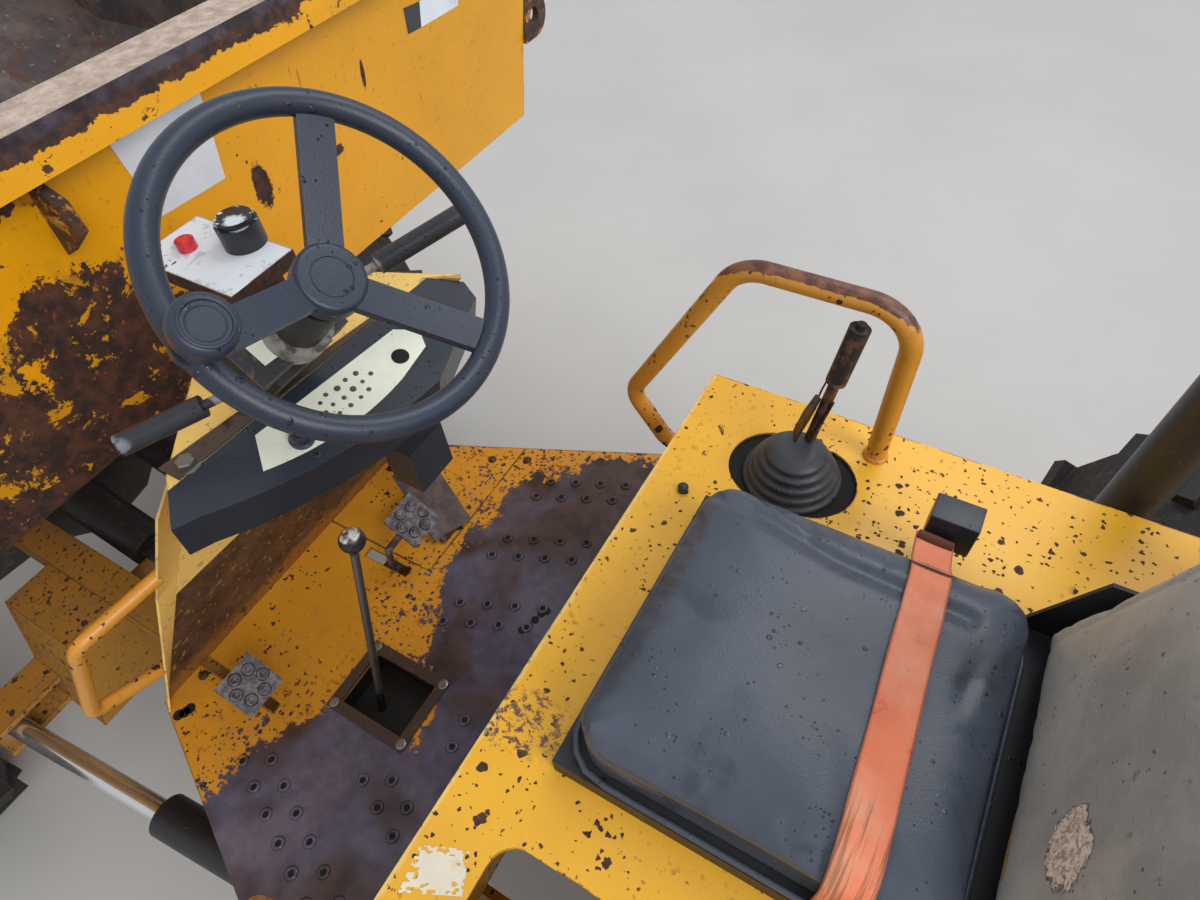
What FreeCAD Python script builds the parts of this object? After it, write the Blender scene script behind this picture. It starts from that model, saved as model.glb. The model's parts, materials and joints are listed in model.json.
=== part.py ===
import FreeCAD, Part
import math
import os
import re
from types import SimpleNamespace

import Sketcher
from FreeCAD import Placement, Rotation, Vector

# Articulated straight-tip site dumper.
# Frame: +X forward, +Y left, +Z up, origin on the ground under the middle of the machine, millimetres.
# The rear body carries the operator, the engine and the rear axle.
# The front body carries the skip and the front axle, and swings about an upright pin.

# Driving dimensions: name, value in millimetres or degrees, what it is.
SIZES = [
    ("floor_height", 950.0, "top of the operator's floor plate above the ground"),
    ("floor_thick", 6.0, "floor plate"),
    ("floor_front_x", 298.0, "front edge of the floor plate"),
    ("floor_front_half", 377.0, "half width of the floor plate at its front edge"),
    ("floor_back_half", 704.0, "half width of the floor plate where it meets the plinth"),
    ("seam_x", 6.0, "seam of the separate plate under the accelerator"),
    ("seam_y", -114.0, "inner edge of that plate"),
    ("seam_gap", 2.0, "open joint round that plate"),
    ("slot_width", 22.0, "pedal slots in the floor"),
    ("clutch_y", 277.0, "clutch pedal and its slot"),
    ("clutch_slot_back", 83.0, "rear end of the clutch slot"),
    ("brake_y", -88.0, "brake pedal and its slot"),
    ("brake_slot_back", 43.0, "rear end of the brake slot"),
    ("brake_slot_length", 119.0, "length of the brake slot"),
    ("gear_hole_x", -97.0, "middle of the gear lever opening"),
    ("gear_hole_y", 147.0, "middle of the gear lever opening"),
    ("gear_hole_long", 150.0, "opening along X"),
    ("gear_hole_wide", 112.0, "opening along Y"),
    ("gear_frame_rim", 21.0, "width of the raised frame round the opening"),
    ("gear_frame_thick", 5.0, "height of that frame"),
    ("tyre_radius", 580.0, "tyre out to the tips of its lugs"),
    ("tyre_width", 440.0, "tyre section width"),
    ("tyre_sides", 28.0, "flat facets round a tyre's carcass"),
    ("tyre_lugs", 18.0, "lugs in each of a tyre's two rows"),
    ("lug_deep", 32.0, "tyre lugs above the carcass"),
    ("tyre_lug_long", 236.0, "tyre lug from the shoulder to past the middle"),
    ("tyre_lug_wide", 46.0, "tyre lug"),
    ("tyre_lug_turn", 30.0, "tyre lugs from the axle's direction, degrees"),
    ("track_half", 950.0, "middle plane of a tyre from the centre line"),
    ("bead_radius", 305.0, "wheel rim where the tyre sits"),
    ("rim_wall", 12.0, "wheel rim plate"),
    ("rim_flange", 24.0, "height of the wheel rim's flanges"),
    ("disc_inset", 60.0, "wheel disc from the tyre's middle plane, towards the machine"),
    ("disc_thick", 12.0, "wheel disc"),
    ("hub_radius", 110.0, "hub that passes through the wheel disc"),
    ("hub_flange_radius", 172.0, "flange that the wheel disc seats on"),
    ("hub_end", 932.0, "outer end of the hub from the centre line"),
    ("axle_tube_radius", 88.0, "axle casing"),
    ("axle_ball_radius", 190.0, "differential housing"),
    ("front_axle_x", 1475.0, "front axle"),
    ("rear_axle_x", -1675.0, "rear axle"),
    ("fit_gap", 0.05, "radial clearance of pins and hubs"),
    ("face_gap", 0.3, "clearance between faces that slide past each other"),
    ("pivot_x", -105.0, "upright pin that joins the two bodies"),
    ("pivot_pin_radius", 38.0, "that pin"),
    ("pivot_boss_radius", 92.0, "boss of each plate round that pin"),
    ("pivot_plate", 25.0, "thickness of each plate on that pin"),
    ("pivot_drop", 85.0, "top face of the upper rear plate below the floor plate's top"),
    ("pivot_bottom", 530.0, "lower face of the lower rear plate"),
    ("rear_side_y", 330.0, "rear chassis side plates, middle plane"),
    ("rear_side_thick", 16.0, "rear chassis side plates"),
    ("rear_front_x", -345.0, "front bulkhead of the rear chassis"),
    ("rear_back_x", -2440.0, "rear bulkhead of the rear chassis"),
    ("frame_over_axle", 110.0, "lower edge of side plates and beams above the axles"),
    ("console_y", 245.0, "bearers under the floor plate"),
    ("weight_back_x", -2510.0, "rear face of the counterweight"),
    ("hitch_back_x", -2575.0, "rear end of the towing hitch"),
    ("exhaust_drop", 110.0, "middle of the exhaust below the floor plate's top"),
    ("hitch_hole", 16.5, "hole radius for the pin of a tow bar, in the upper jaw"),
    ("hitch_low_hole", 13.0, "hole radius for that pin's thinner end, in the lower jaw"),
    ("hitch_web", 11.0, "web that joins the hitch's two jaws at the counterweight, behind the pin"),
    ("hitch_bore_in", 33.0, "that hole from the hitch's rear end"),
    ("tank_front_x", -520.0, "side tanks"),
    ("tank_back_x", -1050.0, "side tanks"),
    ("tank_outer_y", 555.0, "side tanks"),
    ("tank_low", 560.0, "side tanks"),
    ("beam_y", 240.0, "front chassis beams, middle plane"),
    ("beam_wide", 80.0, "front chassis beams"),
    ("beam_drop", 90.0, "top of the front beams below the floor plate's top"),
    ("beam_back_x", 150.0, "rear end of the front beams"),
    ("beam_front_x", 2190.0, "front end of the front beams"),
    ("outrigger_x", 810.0, "cross box of the front chassis, middle"),
    ("outrigger_long", 240.0, "cross box along X"),
    ("outrigger_top_half", 400.0, "half width of the cross box at its top"),
    ("outrigger_low_half", 490.0, "half width of the cross box at its foot"),
    ("outrigger_low", 560.0, "foot of the cross box"),
    ("skip_half", 1165.0, "half width of the skip"),
    ("skip_wall", 8.0, "skip plate"),
    ("wall_top_x", 286.0, "rear wall of the skip at its top"),
    ("wall_top", 1900.0, "top of the skip's walls, under the rim"),
    ("crease_x", 365.0, "rear wall where it folds forwards"),
    ("crease_height", 1416.0, "that fold"),
    ("skip_floor", 1158.0, "underside of the skip's floor"),
    ("skip_floor_half", 680.0, "half width of the skip's floor"),
    ("skip_floor_back", 800.0, "rear edge of the skip's floor"),
    ("skip_floor_front", 1650.0, "front edge of the skip's floor"),
    ("side_break_x", 700.0, "where the top edge of the sides starts to fall"),
    ("lip_x", 2575.0, "front lip of the skip"),
    ("lip_height", 1640.0, "front lip above the ground"),
    ("lip_thick", 12.0, "edge of the front lip"),
    ("rim_deep", 65.0, "height of the boxed rim"),
    ("rim_wide", 90.0, "width of the boxed rim at the back"),
    ("side_rim_wide", 80.0, "width of the boxed rim at the sides"),
    ("rim_back", 36.0, "how far the rim stands behind the wall's top"),
    ("lug_thick", 16.0, "lifting lugs"),
    ("lug_radius", 50.0, "lifting lugs"),
    ("lug_hole", 17.0, "hole radius of a lifting lug"),
    ("side_lug_out", 45.0, "hole of a side lug from the skip's side"),
    ("side_lug_height", 1650.0, "hole of a side lug above the ground"),
    ("tip_pin_x", 2130.0, "hinge of the skip"),
    ("tip_pin_height", 1000.0, "hinge of the skip above the ground"),
    ("tip_pin_radius", 30.0, "hinge pin of the skip"),
    ("tip_eye_radius", 68.0, "plates round that pin"),
    ("tip_lug_wide", 50.0, "chassis lug on that pin"),
    ("tip_plate", 16.0, "skip plates beside the chassis lug"),
    ("ram_y", 110.0, "tipping rams from the centre line"),
    ("ram_base_x", 750.0, "foot pin of the tipping rams"),
    ("ram_base_height", 780.0, "foot pin of the tipping rams"),
    ("ram_eye_x", 1760.0, "upper pin of the tipping rams"),
    ("ram_eye_height", 1075.0, "upper pin of the tipping rams"),
    ("ram_radius", 55.0, "barrel of a tipping ram"),
    ("ram_rod_radius", 30.0, "rod of a tipping ram"),
    ("ram_barrel", 720.0, "end of the barrel from its foot pin"),
    ("ram_pin_radius", 28.0, "pins of the tipping rams"),
    ("ram_eye_radius", 48.0, "eyes of the tipping rams"),
    ("ram_eye_wide", 70.0, "eyes of the tipping rams"),
    ("steer_base_x", -435.0, "rear pin of the steering ram"),
    ("steer_base_y", 480.0, "rear pin of the steering ram"),
    ("steer_eye_x", 895.0, "front pin of the steering ram"),
    ("steer_eye_y", 600.0, "front pin of the steering ram"),
    ("steer_height", 610.0, "axis of the steering ram above the ground"),
    ("steer_radius", 48.0, "barrel of the steering ram"),
    ("steer_rod_radius", 25.0, "rod of the steering ram"),
    ("steer_barrel", 780.0, "end of the barrel from its rear pin"),
    ("steer_pin_radius", 24.0, "pins of the steering ram"),
    ("steer_eye_radius", 44.0, "eyes of the steering ram"),
    ("steer_eye_wide", 60.0, "eyes of the steering ram"),
    ("steer_bracket", 16.0, "bracket plates of the steering ram"),
    ("plinth_front_x", -454.0, "front face of the seat plinth"),
    ("plinth_back_x", -1250.0, "rear end of the seat plinth"),
    ("plinth_half", 563.0, "half width of the plinth"),
    ("plinth_rise", 410.0, "plinth above the floor plate"),
    ("plinth_wall", 5.0, "plinth sheet"),
    ("oval_x", -665.0, "opening round the handbrake"),
    ("oval_y", -405.0, "opening round the handbrake"),
    ("oval_long", 214.0, "that opening along X"),
    ("oval_wide", 150.0, "that opening along Y"),
    ("rail_radius", 16.85, "tube of the hoop rails"),
    ("rail_y", 504.0, "hoop rails from the centre line"),
    ("hoop_back_x", -775.0, "rear leg of a hoop rail"),
    ("hoop_top", 305.0, "top of a hoop rail above the plinth"),
    ("hoop_top_front_x", -505.0, "front end of the level stretch"),
    ("hoop_nose_x", -307.0, "foremost point of a hoop rail"),
    ("hoop_nose_drop", 57.0, "that point below the plinth's top"),
    ("hoop_return_x", -386.0, "where the rail turns back to the plinth"),
    ("hoop_return_drop", 168.0, "that turn below the plinth's top"),
    ("hoop_bend", 70.0, "bend radius of the hoop rails"),
    ("seat_y", -43.0, "middle of the seat"),
    ("seat_wide", 453.0, "seat cushion"),
    ("cushion_front_x", -575.0, "front of the cushion"),
    ("cushion_back_x", -1045.0, "rear of the cushion"),
    ("cushion_thick", 100.0, "seat cushion"),
    ("pan_thick", 38.0, "seat pan under the cushion"),
    ("cut_out_front_x", -552.0, "cut-out in the left of the plinth's top"),
    ("cut_out_back_x", -770.0, "that cut-out"),
    ("cut_out_inner_y", 288.0, "that cut-out"),
    ("cut_out_outer_y", 470.0, "that cut-out"),
    ("cut_out_round", 40.0, "its corners"),
    ("backrest_thick", 95.0, "backrest"),
    ("backrest_tall", 470.0, "backrest"),
    ("backrest_lean", 14.0, "backrest from upright, degrees"),
    ("bonnet_front_x", -1262.0, "front of the engine cover"),
    ("bonnet_back_x", -2430.0, "rear of the engine cover"),
    ("bonnet_half", 500.0, "half width of the engine cover"),
    ("bonnet_top", 1500.0, "engine cover at its front"),
    ("bonnet_wall", 6.0, "engine cover sheet"),
    ("bonnet_hinge_rise", 35.0, "hinge at the foot of the cover's rear face above the floor plate"),
    ("hinge_barrel_radius", 9.0, "barrels of the cover's hinge"),
    ("bonnet_back_lean", 60.0, "top of the cover's rear face ahead of its foot"),
    ("bonnet_back_drop", 190.0, "top of that face below the top of the cover"),
    ("grille_half", 330.0, "half width of the grille in the cover's rear face"),
    ("grille_low", 70.0, "lower edge of the grille above the hinge"),
    ("grille_high", 270.0, "upper edge of the grille above the hinge"),
    ("grille_rim", 16.0, "frame of the grille"),
    ("grille_proud", 5.0, "grille beyond the cover's face"),
    ("slat_pitch", 24.0, "slats of the grille"),
    ("slat_thick", 4.0, "slats of the grille"),
    ("vent_pitch", 36.0, "slots in the cover's sides"),
    ("vent_tall", 13.0, "slots in the cover's sides"),
    ("vent_back_x", -2200.0, "slots in the cover's sides"),
    ("vent_front_x", -1960.0, "slots in the cover's sides"),
    ("roll_bar_radius", 40.0, "roll bar tube"),
    ("roll_bar_x", -1150.0, "foot of the roll bar"),
    ("roll_bar_half", 625.0, "half width of the roll bar"),
    ("roll_bar_lean", 60.0, "top of the roll bar behind its feet"),
    ("roll_bar_bend", 150.0, "bend radius of the roll bar"),
    ("roll_bar_top", 2900.0, "top of the roll bar"),
    ("wheel_x", -283.0, "middle of the steering wheel"),
    ("wheel_rise", 996.0, "middle of the steering wheel above the floor plate"),
    ("wheel_lean", 44.4, "steering wheel's axis from upright, degrees"),
    ("wheel_radius", 166.5, "middle line of the steering wheel's rim"),
    ("wheel_rim_radius", 13.5, "rim of the steering wheel"),
    ("spoke_angle", 81.5, "first spoke from the forward end of the wheel's plane, degrees"),
    ("spoke_wide", 37.0, "spokes of the steering wheel"),
    ("hub_cap_radius", 38.0, "middle cap of the steering wheel"),
    ("hub_dish", 34.0, "top of that cap below the plane of the rim"),
    ("knob_reach", 160.0, "spinner knob from the wheel's middle"),
    ("knob_radius", 28.0, "spinner knob"),
    ("column_radius", 30.0, "steering column"),
    ("column_length", 339.0, "steering column"),
    ("tower_top_rise", 725.0, "top of the dash tower above the floor plate"),
    ("cowl_left_x", -43.0, "rear left corner of the tower's top"),
    ("cowl_left_y", 188.0, "rear left corner of the tower's top"),
    ("cowl_front_left_x", 70.0, "front left corner of the tower's top"),
    ("cowl_front_left_y", 48.0, "front left corner of the tower's top"),
    ("cowl_front_right_x", 30.0, "front right corner of the tower's top"),
    ("cowl_front_right_y", -222.0, "front right corner of the tower's top"),
    ("cowl_right_x", -140.0, "rear right corner of the tower's top"),
    ("cowl_right_y", -292.0, "rear right corner of the tower's top"),
    ("tower_wall", 4.0, "sheet of the tower"),
    ("dash_left_x", -63.0, "left end of the edge where the dash meets the cowl"),
    ("dash_left_y", 202.0, "left end of that edge"),
    ("dash_right_x", -97.0, "right end of that edge"),
    ("dash_right_y", -263.0, "right end of that edge"),
    ("dash_deep", 76.0, "dash moulding from top to underside"),
    ("dash_wall", 5.0, "wall of the dash moulding, which is open below"),
    ("dash_tilt", 16.0, "fall of the dash towards the seat, degrees"),
    ("dash_panel_thick", 3.0, "panel let into the moulding"),
    ("belt_back_x", -940.0, "rear edge of the lap belt"),
    ("belt_wide", 53.0, "lap belt's webbing"),
    ("belt_thick", 3.0, "lap belt's webbing"),
    ("buckle_out", 104.0, "belt buckle's outer side from the cushion's right side"),
    ("buckle_wide", 46.0, "belt buckle across"),
    ("buckle_drop", 80.0, "belt buckle's lower end below the cushion's top"),
    ("buckle_tall", 64.0, "belt buckle"),
    ("stalk_rise", 16.0, "buckle stalk above the plinth"),
    ("grip_x", -703.0, "upper end of the handbrake grip"),
    ("grip_y", -472.0, "upper end of the handbrake grip"),
    ("grip_rise", 282.0, "upper end of the handbrake grip above the plinth"),
    ("grip_long", 102.0, "handbrake grip"),
    ("bracket_rise", 97.0, "control bracket's panel above the cowl"),
    ("handle_out", 453.0, "outermost point of the grab handle"),
    ("handle_radius", 12.5, "tube of the grab handle"),
]

doc = FreeCAD.newDocument("site_dumper")
sheet = doc.addObject("Spreadsheet::Sheet", "Sizes")
for row, (alias, value, meaning) in enumerate(SIZES, start=1):
    sheet.set(f"A{row}", alias)
    sheet.set(f"B{row}", str(value))
    sheet.setAlias(f"B{row}", alias)
    sheet.set(f"C{row}", meaning)
doc.recompute()
s = SimpleNamespace(**{alias: float(sheet.get(alias)) for alias, value, meaning in SIZES})
ALIASES = {alias for alias, value, meaning in SIZES}
nodes = {}

# Heights that follow from other sizes: name, how.
DERIVED = {
    "rear_low": "(tyre_radius + frame_over_axle)",
    "beam_low": "(tyre_radius + frame_over_axle)",
    "beam_top": "(floor_height - beam_drop)",
    "exhaust_height": "(floor_height - exhaust_drop)",
    "pivot_top": "(floor_height - pivot_drop)",
    "bonnet_hinge_height": "(floor_height + bonnet_hinge_rise)",
}


def bound(text):
    """Point each size's name in an expression at its cell."""
    spelled = re.sub(r"[a-z_]+", lambda word: DERIVED.get(word[0], word[0]), str(text))
    return re.sub(r"[a-z_]+", lambda word: "Sizes." + word[0] if word[0] in ALIASES else word[0], spelled)


def place(item, x="0", y="0", z="0"):
    """Bind an object's position to expressions."""
    for axis, text in (("x", x), ("y", y), ("z", z)):
        item.setExpression(f"Placement.Base.{axis}", bound(text))
    return item


def turned(item, axis, angle):
    """Turn an object about a fixed direction by a bound angle."""
    item.Placement = Placement(Vector(), Rotation(Vector(*axis), 1.0))
    item.setExpression("Placement.Rotation.Angle", bound(angle))
    return item


def box(name, x, y, z):
    """A box from three (low, high) pairs of expressions."""
    item = doc.addObject("Part::Box", name)
    for prop, (low, high) in (("Length", x), ("Width", y), ("Height", z)):
        item.setExpression(prop, bound(f"({high}) - ({low})"))
    return place(item, x[0], y[0], z[0])


QUARTER_TURN = {"X": ((0, 1, 0), 90.0), "Y": ((1, 0, 0), -90.0), "Z": ((0, 0, 1), 0.0)}


def rod(name, radius, length, start, axis="Z"):
    """A cylinder that starts at a point and runs along +X, +Y or +Z."""
    item = doc.addObject("Part::Cylinder", name)
    item.setExpression("Radius", bound(radius))
    item.setExpression("Height", bound(length))
    direction, angle = QUARTER_TURN[axis]
    item.Placement = Placement(Vector(), Rotation(Vector(*direction), angle))
    return place(item, *start)


PLANES = {"XY": ("XY_Plane", "z"), "XZ": ("XZ_Plane", "y"), "YZ": ("YZ_Plane", "x")}


def outline(body, name, plane, points):
    """A closed sketch of straight edges whose corners are bound to expressions."""
    sketch = body.newObject("Sketcher::SketchObject", name)
    base = [item for item in body.Origin.OriginFeatures if item.Role == PLANES[plane][0]][0]
    sketch.AttachmentSupport = [(base, "")]
    sketch.MapMode = "FlatFace"
    count = len(points)
    ring = []
    for index in range(count):
        angle = 2.0 * math.pi * index / count
        ring.append(Vector(100.0 * math.cos(angle), 100.0 * math.sin(angle), 0))
    for index in range(count):
        sketch.addGeometry(Part.LineSegment(ring[index], ring[(index + 1) % count]), False)
    for index in range(count):
        sketch.addConstraint(Sketcher.Constraint("Coincident", index, 2, (index + 1) % count, 1))
    for index, corner in enumerate(points):
        for kind, text, start in (("DistanceX", corner[0], ring[index].x),
                                  ("DistanceY", corner[1], ring[index].y)):
            number = sketch.addConstraint(Sketcher.Constraint(kind, -1, 1, index, 1, start))
            sketch.setExpression(f"Constraints[{number}]", bound(text))
    return sketch


def prism(name, plane, points, middle, depth):
    """A pad of a closed outline, half to each side of a plane."""
    body = doc.addObject("PartDesign::Body", name)
    pad = body.newObject("PartDesign::Pad", name + "_pad")
    pad.Profile = outline(body, name + "_outline", plane, points)
    body.Tip = pad
    pad.SideType = "Symmetric"
    pad.setExpression("Length", bound(depth))
    body.setExpression("Placement.Base." + PLANES[plane][1], bound(middle))
    return body


def turned_profile(name, points):
    """A solid of revolution about the Y axis: points are (distance along Y, radius)."""
    body = doc.addObject("PartDesign::Body", name)
    sketch = outline(body, name + "_outline", "YZ", points)
    spin = body.newObject("PartDesign::Revolution", name + "_spin")
    spin.Profile = sketch
    spin.ReferenceAxis = (sketch, ["H_Axis"])
    spin.Angle = 360.0
    body.Tip = spin
    return body


def fuse(name, *items):
    joined = doc.addObject("Part::MultiFuse", name)
    joined.Shapes = list(items)
    return joined


def cut(name, base, *tools):
    item = doc.addObject("Part::Cut", name)
    item.Base = base
    item.Tool = tools[0] if len(tools) == 1 else fuse(name + "_tools", *tools)
    return item


def common(name, *items):
    item = doc.addObject("Part::MultiCommon", name)
    item.Shapes = list(items)
    return item


def mirrored(name, item):
    """The same piece on the other side of the machine's middle plane."""
    twin = doc.addObject("Part::Mirroring", name)
    twin.Source = item
    twin.Normal = Vector(0, 1, 0)
    return twin


def group(name, *items):
    """Like pieces of one body that don't touch."""
    item = doc.addObject("Part::Compound", name)
    item.Links = list(items)
    return item


def span(side, inner, outer):
    """The (low, high) pair of Y expressions for a stretch on the left (1) or the right (-1)."""
    return (inner, outer) if side > 0 else (f"-({outer})", f"-({inner})")


def both_sides(name, item):
    return group(name, item, mirrored(name + "_twin", item))


def node(label, item):
    """Name a finished sub-part: its label names its file."""
    item.Label = label
    nodes[label] = item
    return item


def shaped(name, shape):
    """A sub-part whose shape is worked out from the sizes by Part's own functions."""
    item = doc.addObject("Part::Feature", name)
    item.Shape = shape
    return item


def bent_tube(points, bend, radius):
    """A round bar along straight runs joined by tangent arcs."""
    edges = []
    start = points[0]
    for before, corner, after in zip(points, points[1:], points[2:]):
        back = (before - corner).normalize()
        ahead = (after - corner).normalize()
        half = 0.5 * back.getAngle(ahead)
        reach = bend / math.tan(half)
        first = corner + back * reach
        last = corner + ahead * reach
        middle_way = (back + ahead).normalize()
        centre = corner + middle_way * (bend / math.sin(half))
        edges.append(Part.LineSegment(start, first).toShape())
        edges.append(Part.Arc(first, centre - middle_way * bend, last).toShape())
        start = last
    edges.append(Part.LineSegment(start, points[-1]).toShape())
    wire = Part.Wire(edges)
    tangent = (points[1] - points[0]).normalize()
    ring = Part.Wire(Part.makeCircle(radius, points[0], tangent))
    return wire.makePipeShell([ring], True, False)


PLINTH_TOP = "floor_height + plinth_rise"

# How far a corner of the skip's inside moves for each millimetre of plate, from the bend at that corner.
CREASE_TURN = (1.09, 0.52)
FLOOR_BACK_TURN = 0.27
FLOOR_FRONT_TURN = 0.245
APRON_STRETCH = 1.127
CHAMFER_TURN = (0.25, 0.6)


def lugged_tyre():
    """A tyre about the Y axis through its own middle: a faceted carcass with two staggered rows of lugs."""
    step = 2.0 * math.pi / s.tyre_sides
    spread = 1.0 / math.cos(step / 2)
    half = s.tyre_width / 2
    rise = s.tyre_radius - s.bead_radius
    tread = s.tyre_radius - s.lug_deep
    left = [(0.92 * half, s.bead_radius), (0.92 * half, s.bead_radius + s.rim_flange),
            (half, s.bead_radius + 0.3 * rise),
            (half, s.bead_radius + 0.62 * rise), (0.84 * half, tread)]
    profile = left + [(-along, radius) for along, radius in reversed(left)]
    rings = []
    for number in range(int(s.tyre_sides)):
        sine = spread * math.sin(number * step)
        cosine = spread * math.cos(number * step)
        rings.append([Vector(radius * sine, along, radius * cosine) for along, radius in profile])
    faces = []
    for ring, after in zip(rings, rings[1:] + rings[:1]):
        for corners in zip(ring, ring[1:] + ring[:1], after[1:] + after[:1], after):
            faces.append(Part.Face(Part.makePolygon(list(corners) + [corners[0]])))
    shell = Part.makeShell(faces)
    shell.sewShape()
    carcass = Part.makeSolid(shell)
    if carcass.Volume < 0:
        carcass.reverse()
    turn = math.radians(s.tyre_lug_turn)
    sideways = 0.5 * (s.tyre_lug_long * math.sin(turn) + s.tyre_lug_wide * math.cos(turn))
    endways = 0.5 * (s.tyre_lug_long * math.cos(turn) + s.tyre_lug_wide * math.sin(turn))
    top = math.sqrt(s.tyre_radius ** 2 - sideways ** 2)
    root = tread - 2 * s.lug_deep
    pitch = 360.0 / s.tyre_lugs
    lugs = []
    for side, late in ((1, 0.0), (-1, 0.5)):
        for number in range(int(s.tyre_lugs)):
            lug = Part.makeBox(s.tyre_lug_wide, s.tyre_lug_long, top - root,
                               Vector(-s.tyre_lug_wide / 2, -s.tyre_lug_long / 2, root))
            lug.rotate(Vector(), Vector(0, 0, 1), side * s.tyre_lug_turn)
            lug.translate(Vector(0, side * (0.96 * half - endways), 0))
            lug.rotate(Vector(), Vector(0, 1, 0), (number + late) * pitch)
            lugs.append(lug)
    return carcass.fuse(lugs)


def ground_wheels():
    """Tyres and wheel rims, one pair of nodes for each corner."""
    corners = [("front_left", "front_axle_x", 1), ("front_right", "front_axle_x", -1),
               ("rear_left", "rear_axle_x", 1), ("rear_right", "rear_axle_x", -1)]
    tyre_shape = lugged_tyre()
    for corner, axle, side in corners:
        tyre = shaped("tyre_" + corner, tyre_shape.copy())
        place(tyre, axle, f"{side} * track_half", "tyre_radius")
        node("tyre_" + corner, tyre)
        inward = -side
        rim = turned_profile("rim_" + corner, [
            ("-tyre_width * 0.46 - rim_wall", "bead_radius + rim_flange"),
            ("-tyre_width * 0.46", "bead_radius + rim_flange"),
            ("-tyre_width * 0.46", "bead_radius"),
            ("tyre_width * 0.46", "bead_radius"),
            ("tyre_width * 0.46", "bead_radius + rim_flange"),
            ("tyre_width * 0.46 + rim_wall", "bead_radius + rim_flange"),
            ("tyre_width * 0.46 + rim_wall", "bead_radius - rim_wall"),
            (f"{inward} * disc_inset * 0.2 + disc_thick", "bead_radius - rim_wall"),
            (f"{inward} * disc_inset + disc_thick / 2", "bead_radius - 6 * rim_wall"),
            (f"{inward} * disc_inset + disc_thick / 2", "hub_radius + fit_gap"),
            (f"{inward} * disc_inset - disc_thick / 2", "hub_radius + fit_gap"),
            (f"{inward} * disc_inset - disc_thick / 2", "bead_radius - 6 * rim_wall"),
            (f"{inward} * disc_inset * 0.2 - disc_thick", "bead_radius - rim_wall"),
            ("-tyre_width * 0.46 - rim_wall", "bead_radius - rim_wall"),
        ])
        place(rim, axle, f"{side} * track_half", "tyre_radius")
        node("rim_" + corner, rim)


def axle(label, where):
    """Axle casing with its differential, hubs and the flanges that carry the wheels."""
    half = [
        ("0", "axle_ball_radius"),
        ("axle_ball_radius * 0.55", "axle_ball_radius * 0.92"),
        ("axle_ball_radius * 1.1", "axle_tube_radius * 1.25"),
        ("track_half * 0.62", "axle_tube_radius"),
        ("track_half * 0.68", "axle_tube_radius"),
        ("track_half * 0.70", "hub_flange_radius * 0.9"),
        ("track_half * 0.80", "hub_flange_radius * 0.9"),
        ("track_half * 0.82", "hub_radius * 1.1"),
        ("track_half - disc_inset - disc_thick / 2 - face_gap - 22", "hub_radius * 1.1"),
        ("track_half - disc_inset - disc_thick / 2 - face_gap - 22", "hub_flange_radius"),
        ("track_half - disc_inset - disc_thick / 2 - face_gap", "hub_flange_radius"),
        ("track_half - disc_inset - disc_thick / 2 - face_gap", "hub_radius"),
        ("hub_end", "hub_radius"),
        ("hub_end + 18", "hub_radius * 0.72"),
    ]
    points = half + [("hub_end + 18", "0"), ("-hub_end - 18", "0")]
    points += [(f"-({along})", radius) for along, radius in reversed(half[1:])]
    casing = turned_profile(label, points)
    place(casing, where, "0", "tyre_radius")
    node(label, casing)


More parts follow.
